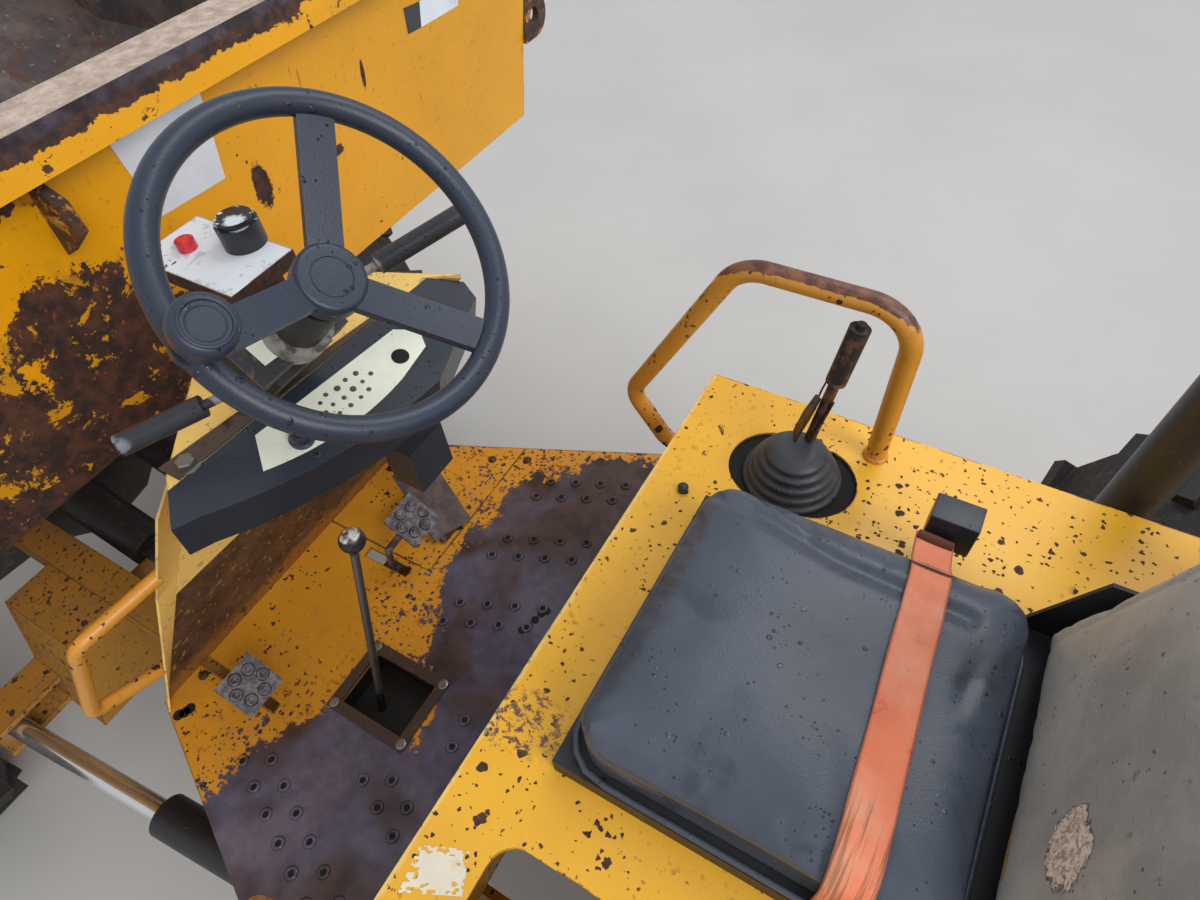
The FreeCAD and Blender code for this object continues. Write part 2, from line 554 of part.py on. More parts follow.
def rear_chassis():
    """Side plates, bulkheads and the nose that holds the upright pin."""
    side = prism("rear_side_plate", "XZ", [
        ("rear_back_x", "rear_low"), ("rear_front_x - 420", "rear_low"), ("rear_front_x - 260",
                                                                          "pivot_bottom"),
        ("rear_front_x", "pivot_bottom"), ("rear_front_x", "floor_height - floor_thick"),
        ("rear_back_x", "floor_height - floor_thick")], "rear_side_y", "rear_side_thick")
    width = ("-rear_side_y - rear_side_thick / 2", "rear_side_y + rear_side_thick / 2")
    front = box("rear_front_bulkhead", ("rear_front_x", "rear_front_x + rear_side_thick"), width,
                ("pivot_bottom", "floor_height - floor_thick"))
    middle = box("rear_middle_bulkhead", ("rear_front_x - 560", "rear_front_x - 560 + rear_side_thick"),
                 width,
                 ("rear_low", "floor_height - floor_thick"))
    back = box("rear_back_bulkhead", ("rear_back_x - rear_side_thick", "rear_back_x"), width,
               ("rear_low", "floor_height - floor_thick"))
    pieces = [side, mirrored("rear_side_plate_right", side), front, middle, back]
    for name, low in (("upper", "pivot_top - pivot_plate"), ("lower", "pivot_bottom")):
        tongue = prism(f"rear_{name}_tongue", "XY", [
            ("rear_front_x + rear_side_thick", "-rear_side_y + 40"), ("pivot_x", "-pivot_boss_radius"),
            ("pivot_x", "pivot_boss_radius"), ("rear_front_x + rear_side_thick", "rear_side_y - 40")],
            f"{low} + pivot_plate / 2", "pivot_plate")
        boss = rod(f"rear_{name}_boss", "pivot_boss_radius", "pivot_plate", ("pivot_x", "0", low))
        pieces += [tongue, boss]
    for name, side in (("left", 1), ("right", -1)):
        pieces.append(box(f"floor_console_{name}",
                          ("rear_front_x + rear_side_thick", "floor_front_x - 20"),
                          (f"{side} * console_y - 15", f"{side} * console_y + 15"),
                          ("floor_height - floor_thick - 50", "floor_height - floor_thick")))
        pieces.append(box(f"roll_bar_foot_{name}", ("roll_bar_x - 90", "roll_bar_x + 90"),
                          span(side, "rear_side_y", "roll_bar_half + 55"),
                          ("floor_height - floor_thick - 90", "floor_height - floor_thick")))
        pieces.append(box(f"rear_saddle_{name}", ("rear_axle_x - 70", "rear_axle_x + 70"),
                          span(side, "rear_side_y - 30", "rear_side_y + 30"),
                          ("tyre_radius + 60", "rear_low")))
    for name, where in (("front", "bonnet_front_x - 130"), ("back", "bonnet_back_x + 340")):
        pieces.append(box(f"engine_bearer_{name}", (f"{where} - 30", f"{where} + 30"), width,
                          ("rear_low + 70", "rear_low + 110")))
    bracket_z = "steer_height + steer_eye_wide / 2 + face_gap"
    for name, low in (("top", bracket_z),
                      ("low", "steer_height - steer_eye_wide / 2 - face_gap - steer_bracket")):
        pieces.append(box(f"steer_rear_bracket_{name}", ("steer_base_x - 60", "steer_base_x + 45"),
                          ("rear_side_y", "steer_base_y + 45"), (low, f"{low} + steer_bracket")))
    whole = fuse("rear_chassis_whole", *pieces)
    bore = rod("rear_pivot_bore", "pivot_pin_radius + fit_gap", "pivot_top - pivot_bottom + 200",
               ("pivot_x", "0", "pivot_bottom - 100"))
    pin_hole = rod("steer_rear_bore", "steer_pin_radius + fit_gap", "300",
                   ("steer_base_x", "steer_base_y", "steer_height - 150"))
    pipe_hole = rod("exhaust_hole", "30", "80",
                    ("rear_axle_x + 120", "-rear_side_y - 40", "exhaust_height"), "Y")
    node("rear_chassis", cut("rear_chassis", whole, bore, pin_hole, pipe_hole, nodes["rear_axle"]))
    pin = rod("pivot_pin_shaft", "pivot_pin_radius", "pivot_top - pivot_bottom + 24",
              ("pivot_x", "0", "pivot_bottom - 12"))
    cap_top = rod("pivot_pin_cap", "pivot_pin_radius + 22", "12", ("pivot_x", "0", "pivot_top"))
    cap_low = rod("pivot_pin_foot", "pivot_pin_radius + 22", "12", ("pivot_x", "0", "pivot_bottom - 12"))
    pivot_pin = fuse("pivot_pin", pin, cap_top, cap_low)
    steer_pin = rod("steer_rear_pin", "steer_pin_radius",
                    "steer_eye_wide + 2 * face_gap + 2 * steer_bracket + 16",
                    ("steer_base_x", "steer_base_y",
                     "steer_height - steer_eye_wide / 2 - face_gap - steer_bracket - 8"))
    steer_cap = rod("steer_rear_cap", "steer_pin_radius + 14", "8",
                    ("steer_base_x", "steer_base_y",
                     "steer_height + steer_eye_wide / 2 + face_gap + steer_bracket"))
    node("chassis_pins", group("chassis_pins", pivot_pin, fuse("steering_ram_pin", steer_pin, steer_cap)))
    weight = prism("counterweight", "XZ", [
        ("rear_back_x - rear_side_thick", "rear_low - 40"), ("rear_back_x - rear_side_thick",
                                                             "floor_height - floor_thick"),
        ("weight_back_x", "floor_height - floor_thick - 20"), ("weight_back_x",
                "rear_low + 40")], "0", "2 * rear_side_y + 300")
    node("counterweight", weight)
    jaw = box("hitch_jaw", ("hitch_back_x + 30", "weight_back_x"), ("-60", "60"),
              ("rear_low + 50", "rear_low + 150"))
    gap = box("hitch_gap", ("hitch_back_x - 10", "weight_back_x - hitch_web"), ("-80", "80"),
              ("rear_low + 75", "rear_low + 125"))
    nose = rod("hitch_nose", "60", "100", ("hitch_back_x + 60", "0", "rear_low + 50"))
    pin_bore = rod("hitch_bore", "hitch_hole", "100", ("hitch_back_x + hitch_bore_in", "0", "rear_low + 100"))
    low_bore = rod("hitch_low_bore", "hitch_low_hole", "200", ("hitch_back_x + hitch_bore_in", "0", "rear_low"))
    behind = box("hitch_behind", ("weight_back_x", "weight_back_x + 200"), ("-100", "100"),
                 ("rear_low", "rear_low + 200"))
    node("tow_hitch", cut("tow_hitch", fuse("hitch_blank", jaw, nose), gap, behind, pin_bore, low_bore))
    lamp = box("rear_lamp", ("weight_back_x - 34", "weight_back_x"), ("330", "450"),
               ("rear_low + 110", "rear_low + 180"))
    node("rear_lamps", both_sides("rear_lamps", lamp))


def front_chassis():
    """Two beams, the tongue on the upright pin, the cross box and the lugs that carry the skip."""
    pieces = []
    for name, side in (("left", 1), ("right", -1)):
        beam = prism(f"front_beam_{name}", "XZ", [
            ("beam_back_x", "beam_low"), ("beam_front_x", "beam_low"), ("beam_front_x", "beam_top"),
            ("beam_back_x", "beam_top")], f"{side} * beam_y", "beam_wide")
        lug = prism(f"tip_lug_{name}", "XZ", [
            ("beam_front_x - 190", "beam_top"), ("beam_front_x", "beam_top"),
            ("tip_pin_x + tip_eye_radius", "tip_pin_height"), ("tip_pin_x", "tip_pin_height + 40"),
            ("tip_pin_x - tip_eye_radius", "tip_pin_height")], f"{side} * beam_y", "tip_lug_wide")
        eye = rod(f"tip_lug_eye_{name}", "tip_eye_radius", "tip_lug_wide",
                  ("tip_pin_x", f"{side} * beam_y - tip_lug_wide / 2", "tip_pin_height"), "Y")
        pin = rod(f"tip_pin_{name}", "tip_pin_radius", "tip_lug_wide + 2 * tip_plate + 2 * face_gap + 24",
                  ("tip_pin_x", f"{side} * beam_y - tip_lug_wide / 2 - tip_plate - face_gap - 12",
                   "tip_pin_height"), "Y")
        box_side = prism(f"cross_box_{name}", "YZ", [
            (f"{side} * (beam_y + beam_wide / 2)", "beam_top - 10"), (f"{side} * outrigger_top_half",
                                                                      "beam_top - 10"),
            (f"{side} * outrigger_low_half", "outrigger_low"), (f"{side} * (beam_y + beam_wide / 2)",
                                                                "outrigger_low")],
            "outrigger_x", "outrigger_long")
        pieces += [beam, lug, eye, pin, box_side]
        saddle = box(f"axle_saddle_{name}", ("front_axle_x - 70", "front_axle_x + 70"),
                     span(side, "beam_y - beam_wide / 2", "beam_y + beam_wide / 2"), ("tyre_radius + 60",
                                                                                      "beam_low"))
        pieces.append(saddle)
    width = ("-beam_y - beam_wide / 2", "beam_y + beam_wide / 2")
    pieces.append(box("front_bulkhead", ("beam_back_x", "beam_back_x + 16"), width,
                      ("pivot_bottom + 20", "beam_top")))
    pieces.append(box("front_cross", ("beam_front_x - 90", "beam_front_x"), width,
                      ("beam_low", "beam_top")))
    pieces.append(box("belly_plate", ("outrigger_x - outrigger_long / 2",
                                      "outrigger_x + outrigger_long / 2"),
                      ("-beam_y - beam_wide / 2 - 10", "beam_y + beam_wide / 2 + 10"), ("outrigger_low",
                              "outrigger_low + 20")))
    for name, side in (("left", 1), ("right", -1)):
        pieces.append(box(f"belly_web_{name}",
                          ("outrigger_x - outrigger_long / 2", "outrigger_x + outrigger_long / 2"),
                          (f"{side} * beam_y - beam_wide / 2",
                           f"{side} * beam_y + beam_wide / 2"), ("outrigger_low", "beam_low")))
    pieces.append(rod("ram_foot_pin", "ram_pin_radius", "2 * beam_y - beam_wide",
                      ("ram_base_x", "-beam_y + beam_wide / 2", "ram_base_height"), "Y"))
    for name, low in (("upper", "pivot_top - 2 * pivot_plate - 5"),
                      ("lower", "pivot_bottom + pivot_plate + 5")):
        tongue = prism(f"front_{name}_tongue", "XY", [
            ("beam_back_x", "-beam_y"), ("beam_back_x", "beam_y"), ("pivot_x", "pivot_boss_radius - 4"),
            ("pivot_x", "-pivot_boss_radius + 4")], f"{low} + pivot_plate / 2", "pivot_plate")
        boss = rod(f"front_{name}_boss", "pivot_boss_radius - 4", "pivot_plate", ("pivot_x", "0", low))
        pieces += [tongue, boss]
    pieces.append(box("tongue_web", ("pivot_x + pivot_boss_radius + 40", "beam_back_x"), ("-60", "60"),
                      ("pivot_bottom + pivot_plate + 5", "pivot_top - pivot_plate - 5")))
    for name, low in (("top", "steer_height + steer_eye_wide / 2 + face_gap"),
                      ("low", "steer_height - steer_eye_wide / 2 - face_gap - steer_bracket")):
        pieces.append(box(f"steer_front_bracket_{name}",
                          ("steer_eye_x - 70", "outrigger_x + outrigger_long / 2"),
                          ("outrigger_top_half", "steer_eye_y + 50"), (low, f"{low} + steer_bracket")))
    whole = fuse("front_chassis_whole", *pieces)
    bore = rod("front_pivot_bore", "pivot_pin_radius + fit_gap", "pivot_top - pivot_bottom + 200",
               ("pivot_x", "0", "pivot_bottom - 100"))
    node("front_chassis", cut("front_chassis", whole, bore, nodes["front_axle"]))


def skip():
    """The load tub with its boxed rim, lugs and the plates that hinge it."""
    slope = "(lip_height - skip_floor) / (lip_x - skip_floor_front)"
    side_view = prism("skip_side_view", "XZ", [
        ("wall_top_x", "wall_top"), ("crease_x", "crease_height"), ("skip_floor_back", "skip_floor"),
        ("skip_floor_front", "skip_floor"), ("lip_x", "lip_height"), ("lip_x", "lip_height + lip_thick"),
        ("side_break_x", "wall_top")], "0", "2 * skip_half")
    front_view = prism("skip_front_view", "YZ", [
        ("-skip_half", "wall_top + 50"), ("-skip_half", "crease_height"), ("-skip_floor_half",
                                                                           "skip_floor"),
        ("skip_floor_half", "skip_floor"), ("skip_half", "crease_height"), ("skip_half",
                                                                            "wall_top + 50")],
        "(wall_top_x + lip_x) / 2", "lip_x - wall_top_x + 400")
    hull = common("skip_hull", side_view, front_view)
    inner_side = prism("skip_inner_side_view", "XZ", [
        ("wall_top_x + skip_wall", "wall_top + 60"), (f"crease_x + {CREASE_TURN[0]} * skip_wall",
                                                      f"crease_height + {CREASE_TURN[1]} * skip_wall"),
        (f"skip_floor_back + {FLOOR_BACK_TURN} * skip_wall", "skip_floor + skip_wall"),
        (f"skip_floor_front - {FLOOR_FRONT_TURN} * skip_wall", "skip_floor + skip_wall"),
        ("lip_x", f"lip_height + {APRON_STRETCH} * skip_wall"),
        ("lip_x + 60", f"lip_height + {APRON_STRETCH} * skip_wall + 60 * {slope}"),
        ("lip_x + 60", "wall_top + 60")], "0", "2 * skip_half")
    inner_front = prism("skip_inner_front_view", "YZ", [
        ("-skip_half + skip_wall", "wall_top + 120"), ("-skip_half + skip_wall",
                                                       f"crease_height + {CHAMFER_TURN[1]} * skip_wall"),
        (f"-skip_floor_half + {CHAMFER_TURN[0]} * skip_wall", "skip_floor + skip_wall"),
        (f"skip_floor_half - {CHAMFER_TURN[0]} * skip_wall", "skip_floor + skip_wall"),
        ("skip_half - skip_wall",
         f"crease_height + {CHAMFER_TURN[1]} * skip_wall"), ("skip_half - skip_wall", "wall_top + 120")],
        "(wall_top_x + lip_x) / 2", "lip_x - wall_top_x + 600")
    node("skip_tub", cut("skip_tub", hull, common("skip_room", inner_side, inner_front)))
    band = prism("rim_band", "XZ", [
        ("wall_top_x - rim_back", "wall_top"), ("side_break_x", "wall_top"), ("lip_x",
                                                                              "lip_height + lip_thick"),
        ("lip_x", "lip_height + lip_thick + rim_deep"), ("side_break_x", "wall_top + rim_deep"),
        ("wall_top_x - rim_back", "wall_top + rim_deep")], "0", "2 * skip_half")
    inside = box("rim_inside", ("wall_top_x - rim_back + rim_wide", "lip_x + 100"),
                 ("-skip_half + side_rim_wide", "skip_half - side_rim_wide"), ("lip_height - 50",
                                                                               "wall_top + 200"))
    node("skip_rim", cut("skip_rim", band, inside))
    lugs = []
    for name, side in (("left", 1), ("right", -1)):
        plate = box(f"side_lug_plate_{name}", ("crease_x - 40", "crease_x - 40 + lug_thick"),
                    (f"{side} * skip_half + ({side} - 1) / 2 * side_lug_out",
                     f"{side} * skip_half + ({side} + 1) / 2 * side_lug_out"),
                    ("side_lug_height - lug_radius", "side_lug_height + lug_radius"))
        round_end = rod(f"side_lug_round_{name}", "lug_radius", "lug_thick",
                        ("crease_x - 40", f"{side} * (skip_half + side_lug_out)", "side_lug_height"), "X")
        trim = box(f"side_lug_trim_{name}", ("crease_x - 80", "crease_x + 20"),
                   (f"{side} * skip_half / 2 - skip_half / 2", f"{side} * skip_half / 2 + skip_half / 2"),
                   ("side_lug_height - 100", "side_lug_height + 100"))
        hole = rod(f"side_lug_hole_{name}", "lug_hole", "100",
                   ("crease_x - 100", f"{side} * (skip_half + side_lug_out)", "side_lug_height"), "X")
        lugs.append(cut(f"side_lug_{name}", fuse(f"side_lug_blank_{name}", plate, round_end), trim, hole))
    middle = prism("middle_lug_plate", "XZ", [
        ("wall_top_x", "wall_top"), ("wall_top_x - rim_back - 18",
                                     "wall_top - 24"), ("wall_top_x - rim_back - 18", "wall_top - 70"),
        ("wall_top_x + 20", "wall_top - 122")], "0", "lug_thick")
    middle_hole = rod("middle_lug_hole", "lug_hole * 0.7", "100",
                      ("wall_top_x - 28", "-50", "wall_top - 50"), "Y")
    node("skip_lugs", group("skip_lugs", *lugs, cut("middle_lug", middle, middle_hole, hull)))
    plates = []
    for name, side in (("left", 1), ("right", -1)):
        for which, offset in (("outer", 1), ("inner", -1)):
            level = f"{side} * beam_y + {offset} * (tip_lug_wide / 2 + face_gap + tip_plate / 2)"
            web = prism(f"hinge_plate_{which}_{name}", "XZ", [
                ("skip_floor_back + 60", "skip_floor"), ("skip_floor_back + 60", "skip_floor - 90"),
                ("skip_floor_front + 180", "skip_floor - 90"), ("tip_pin_x - tip_eye_radius",
                                                                "tip_pin_height - 20"),
                ("tip_pin_x + tip_eye_radius", "tip_pin_height - 20"),
                ("tip_pin_x + 110", f"skip_floor + {slope} * (tip_pin_x + 110 - skip_floor_front)"),
                ("skip_floor_front", "skip_floor")], level, "tip_plate")
            eye = rod(f"hinge_eye_{which}_{name}", "tip_eye_radius", "tip_plate",
                      ("tip_pin_x", f"{level} - tip_plate / 2", "tip_pin_height"), "Y")
            hole = rod(f"hinge_bore_{which}_{name}", "tip_pin_radius + fit_gap", "200",
                       ("tip_pin_x", f"{level} - 100", "tip_pin_height"), "Y")
            plates.append(cut(f"hinge_plate_{which}_{name}_bored",
                              fuse(f"hinge_plate_{which}_{name}_whole", web, eye), hole))
            ram_level = f"{side} * ram_y + {offset} * (ram_eye_wide / 2 + face_gap + tip_plate / 2)"
            plates.append(prism(f"ram_plate_{which}_{name}", "XZ", [
                ("ram_eye_x - 90", f"skip_floor + {slope} * (ram_eye_x - 90 - skip_floor_front)"),
                ("ram_eye_x - 50", "ram_eye_height - 50"), ("ram_eye_x + 50", "ram_eye_height - 50"),
                ("ram_eye_x + 90",
                 f"skip_floor + {slope} * (ram_eye_x + 90 - skip_floor_front)")], ram_level, "tip_plate"))
    node("skip_underframe", group("skip_underframe", *plates))


def tipping_rams():
    """Two rams between the front beams and the underside of the skip."""
    dx = s.ram_eye_x - s.ram_base_x
    dz = s.ram_eye_height - s.ram_base_height
    closed = math.hypot(dx, dz)
    along = Vector(dx / closed, 0, dz / closed)
    foot = Vector(s.ram_base_x, 0, s.ram_base_height)
    head = Vector(s.ram_eye_x, 0, s.ram_eye_height)
    barrels = []
    rods = []
    for side in (1, -1):
        level = Vector(0, side * s.ram_y, 0)
        half_eye = Vector(0, s.ram_eye_wide / 2, 0)
        eye = Part.makeCylinder(s.ram_eye_radius, s.ram_eye_wide, foot + level - half_eye,
                                Vector(0, 1, 0))
        barrel = Part.makeCylinder(s.ram_radius, s.ram_barrel - 40, foot + level + along * 40, along)
        gland = Part.makeCylinder(s.ram_radius + 6, 40, foot + level + along * (s.ram_barrel - 40), along)
        bore = Part.makeCylinder(s.ram_rod_radius + s.fit_gap, s.ram_barrel, foot + level + along * 70,
                                 along)
        pin_bore = Part.makeCylinder(s.ram_pin_radius + s.fit_gap, 200, foot + level - Vector(0, 100, 0),
                                     Vector(0, 1, 0))
        barrels.append(eye.fuse([barrel, gland]).cut([bore, pin_bore]))
        rod_bar = Part.makeCylinder(s.ram_rod_radius, closed - 90, foot + level + along * 90, along)
        rod_eye = Part.makeCylinder(s.ram_eye_radius, s.ram_eye_wide, head + level - half_eye,
                                    Vector(0, 1, 0))
        rods.append(rod_bar.fuse(rod_eye))
    node("tipping_ram_barrels", shaped("tipping_ram_barrels", Part.Compound(barrels)))
    node("tipping_ram_rods", shaped("tipping_ram_rods", Part.Compound(rods)))


def steering_ram():
    """One long ram on the left, from the rear chassis to the cross box."""
    foot = Vector(s.steer_base_x, s.steer_base_y, s.steer_height)
    head = Vector(s.steer_eye_x, s.steer_eye_y, s.steer_height)
    closed = (head - foot).Length
    along = (head - foot).normalize()
    up = Vector(0, 0, 1)
    half_eye = up * (s.steer_eye_wide / 2)
    eye = Part.makeCylinder(s.steer_eye_radius, s.steer_eye_wide, foot - half_eye, up)
    neck = Part.makeCylinder(s.steer_rod_radius, 70.0, foot + along * 30, along)
    barrel = Part.makeCylinder(s.steer_radius, s.steer_barrel - 90, foot + along * 90, along).fuse(neck)
    bore = Part.makeCylinder(s.steer_rod_radius + s.fit_gap, s.steer_barrel, foot + along * 108, along)
    pin_bore = Part.makeCylinder(s.steer_pin_radius + s.fit_gap, 200, foot - up * 100, up)
    node("steering_ram_barrel", shaped("steering_ram_barrel", eye.fuse(barrel).cut([bore, pin_bore])))
    bar = Part.makeCylinder(s.steer_rod_radius, closed - 420, foot + along * 420, along)
    rod_eye = Part.makeCylinder(s.steer_eye_radius, s.steer_eye_wide, head - half_eye, up)
    node("steering_ram_rod", shaped("steering_ram_rod", bar.fuse(rod_eye)))


def floor():
    """The operator's floor: main plate, the plate under the accelerator and the gear lever's frame."""
    taper = "(floor_back_half - floor_front_half) / (floor_front_x - plinth_front_x)"
    seam_half = f"(floor_front_half + {taper} * (floor_front_x - seam_x))"
    plate = prism("floor_main", "XY", [
        ("floor_front_x", "floor_front_half"), ("plinth_front_x", "floor_back_half"),
        ("plinth_front_x", "-floor_back_half"), ("seam_x - seam_gap",
                                                 f"-{seam_half} - {taper} * seam_gap"),
        ("seam_x - seam_gap", "seam_y + seam_gap"), ("floor_front_x", "seam_y + seam_gap")],
        "floor_height - floor_thick / 2", "floor_thick")
    deep = ("floor_height - 40", "floor_height + 40")
    slot_left = box("clutch_slot", ("clutch_slot_back", "floor_front_x + 10"),
                    ("clutch_y - slot_width / 2", "clutch_y + slot_width / 2"), deep)
    slot_right = box("brake_slot", ("brake_slot_back", "brake_slot_back + brake_slot_length"),
                     ("brake_y - slot_width / 2", "brake_y + slot_width / 2"), deep)
    hole = box("gear_hole", ("gear_hole_x - gear_hole_long / 2", "gear_hole_x + gear_hole_long / 2"),
               ("gear_hole_y - gear_hole_wide / 2", "gear_hole_y + gear_hole_wide / 2"), deep)
    small_plate = prism("accelerator_floor_plate", "XY", [
        ("seam_x", "seam_y"), ("seam_x", f"-{seam_half}"), ("floor_front_x",
                                                            "-floor_front_half"), ("floor_front_x",
                                                                                   "seam_y")],
        "floor_height - floor_thick / 2", "floor_thick")
    node("floor_plates", group("floor_plates", cut("floor_main_cut", plate, slot_left, slot_right, hole),
                               small_plate))
    frame = box("gear_frame_blank",
                ("gear_hole_x - gear_hole_long / 2 - gear_frame_rim",
                 "gear_hole_x + gear_hole_long / 2 + gear_frame_rim"),
                ("gear_hole_y - gear_hole_wide / 2 - gear_frame_rim",
                 "gear_hole_y + gear_hole_wide / 2 + gear_frame_rim"),
                ("floor_height", "floor_height + gear_frame_thick"))
    node("gear_lever_frame", cut("gear_lever_frame", frame, hole))


def plinth():
    """The sheet box that the seat stands on, open below and at the back."""
    top = PLINTH_TOP
    outer = box("plinth_outer", ("plinth_back_x", "plinth_front_x"), ("-plinth_half", "plinth_half"),
                ("floor_height - floor_thick", top))
    inner = box("plinth_inner", ("plinth_back_x - 10", "plinth_front_x - plinth_wall"),
                ("-plinth_half + plinth_wall", "plinth_half - plinth_wall"), ("floor_height - 60",
                                                                              f"{top} - plinth_wall"))
    slot = box("oval_middle", ("oval_x - (oval_long - oval_wide) / 2",
                               "oval_x + (oval_long - oval_wide) / 2"),
               ("oval_y - oval_wide / 2", "oval_y + oval_wide / 2"), (f"{top} - 40", f"{top} + 40"))
    ends = [rod(f"oval_end_{name}", "oval_wide / 2", "80",
                (f"oval_x {sign} (oval_long - oval_wide) / 2", "oval_y", f"{top} - 40"))
            for name, sign in (("front", "+"), ("back", "-"))]
    deep = (f"{top} - 40", f"{top} + 40")
    long_cut = box("cut_out_long", ("cut_out_back_x", "cut_out_front_x"),
                   ("cut_out_inner_y + cut_out_round", "cut_out_outer_y - cut_out_round"), deep)
    wide_cut = box("cut_out_wide", ("cut_out_back_x + cut_out_round", "cut_out_front_x - cut_out_round"),
                   ("cut_out_inner_y", "cut_out_outer_y"), deep)
    rounds = []
    for x in ("cut_out_back_x + cut_out_round", "cut_out_front_x - cut_out_round"):
        for y in ("cut_out_inner_y + cut_out_round", "cut_out_outer_y - cut_out_round"):
            rounds.append(rod(f"cut_out_corner_{len(rounds)}", "cut_out_round", "80",
                              (x, y, f"{top} - 40")))
    node("seat_plinth", cut("seat_plinth", outer, inner, slot, *ends, long_cut, wide_cut, *rounds))


def rails():
    """Hoop rails each side of the seat and the small handle on the tower."""
    top = s.floor_height + s.plinth_rise
    hoops = []
    for side in (1, -1):
        points = [Vector(s.hoop_back_x, side * s.rail_y, top),
                  Vector(s.hoop_back_x, side * s.rail_y, top + s.hoop_top),
                  Vector(s.hoop_top_front_x, side * s.rail_y, top + s.hoop_top),
                  Vector(s.hoop_nose_x, side * s.rail_y, top - s.hoop_nose_drop),
                  Vector(s.hoop_return_x, side * s.rail_y, top - s.hoop_return_drop),
                  Vector(s.plinth_front_x, side * s.rail_y, top - s.hoop_return_drop)]
        hoops.append(bent_tube(points, s.hoop_bend * 0.5, s.rail_radius))
    node("hoop_rails", shaped("hoop_rails", Part.Compound(hoops)))


def seat():
    """Seat pan with the cheeks that hold the backrest, cushion and backrest, as plain closed solids."""
    top = PLINTH_TOP
    left = "seat_y + seat_wide / 2"
    right = "seat_y - seat_wide / 2"
    rest_x = "cushion_back_x - backrest_thick - 8"
    pan = box("seat_pan_plate", (f"{rest_x} - 12", "cushion_front_x + 8"),
              (f"{right} - 6", f"{left} + 6"), (top, f"{top} + pan_thick"))
    cheeks = []
    for name, side in (("left", 1), ("right", -1)):
        cheeks.append(prism(f"seat_cheek_{name}", "XZ", [
            (f"{rest_x} - 12", f"{top} + pan_thick"), (f"{rest_x} + 120", f"{top} + pan_thick"),
            (f"{rest_x} + 60", f"{top} + pan_thick + 150"), (f"{rest_x} - 40",
                                                             f"{top} + pan_thick + 150")],
            f"seat_y + {side} * (seat_wide / 2 + 3)", "6 - face_gap"))
    node("seat_pan", fuse("seat_pan", pan, *cheeks))
    node("seat_cushion", box("seat_cushion", ("cushion_back_x", "cushion_front_x"), (right, left),
                             (f"{top} + pan_thick", f"{top} + pan_thick + cushion_thick")))
    rest = doc.addObject("Part::Box", "seat_backrest")
    for prop, text in (("Length", "backrest_thick"), ("Width", "seat_wide"), ("Height", "backrest_tall")):
        rest.setExpression(prop, bound(text))
    turned(rest, (0, 1, 0), "-backrest_lean")
    node("seat_backrest", place(rest, rest_x, right, f"{top} + pan_thick"))


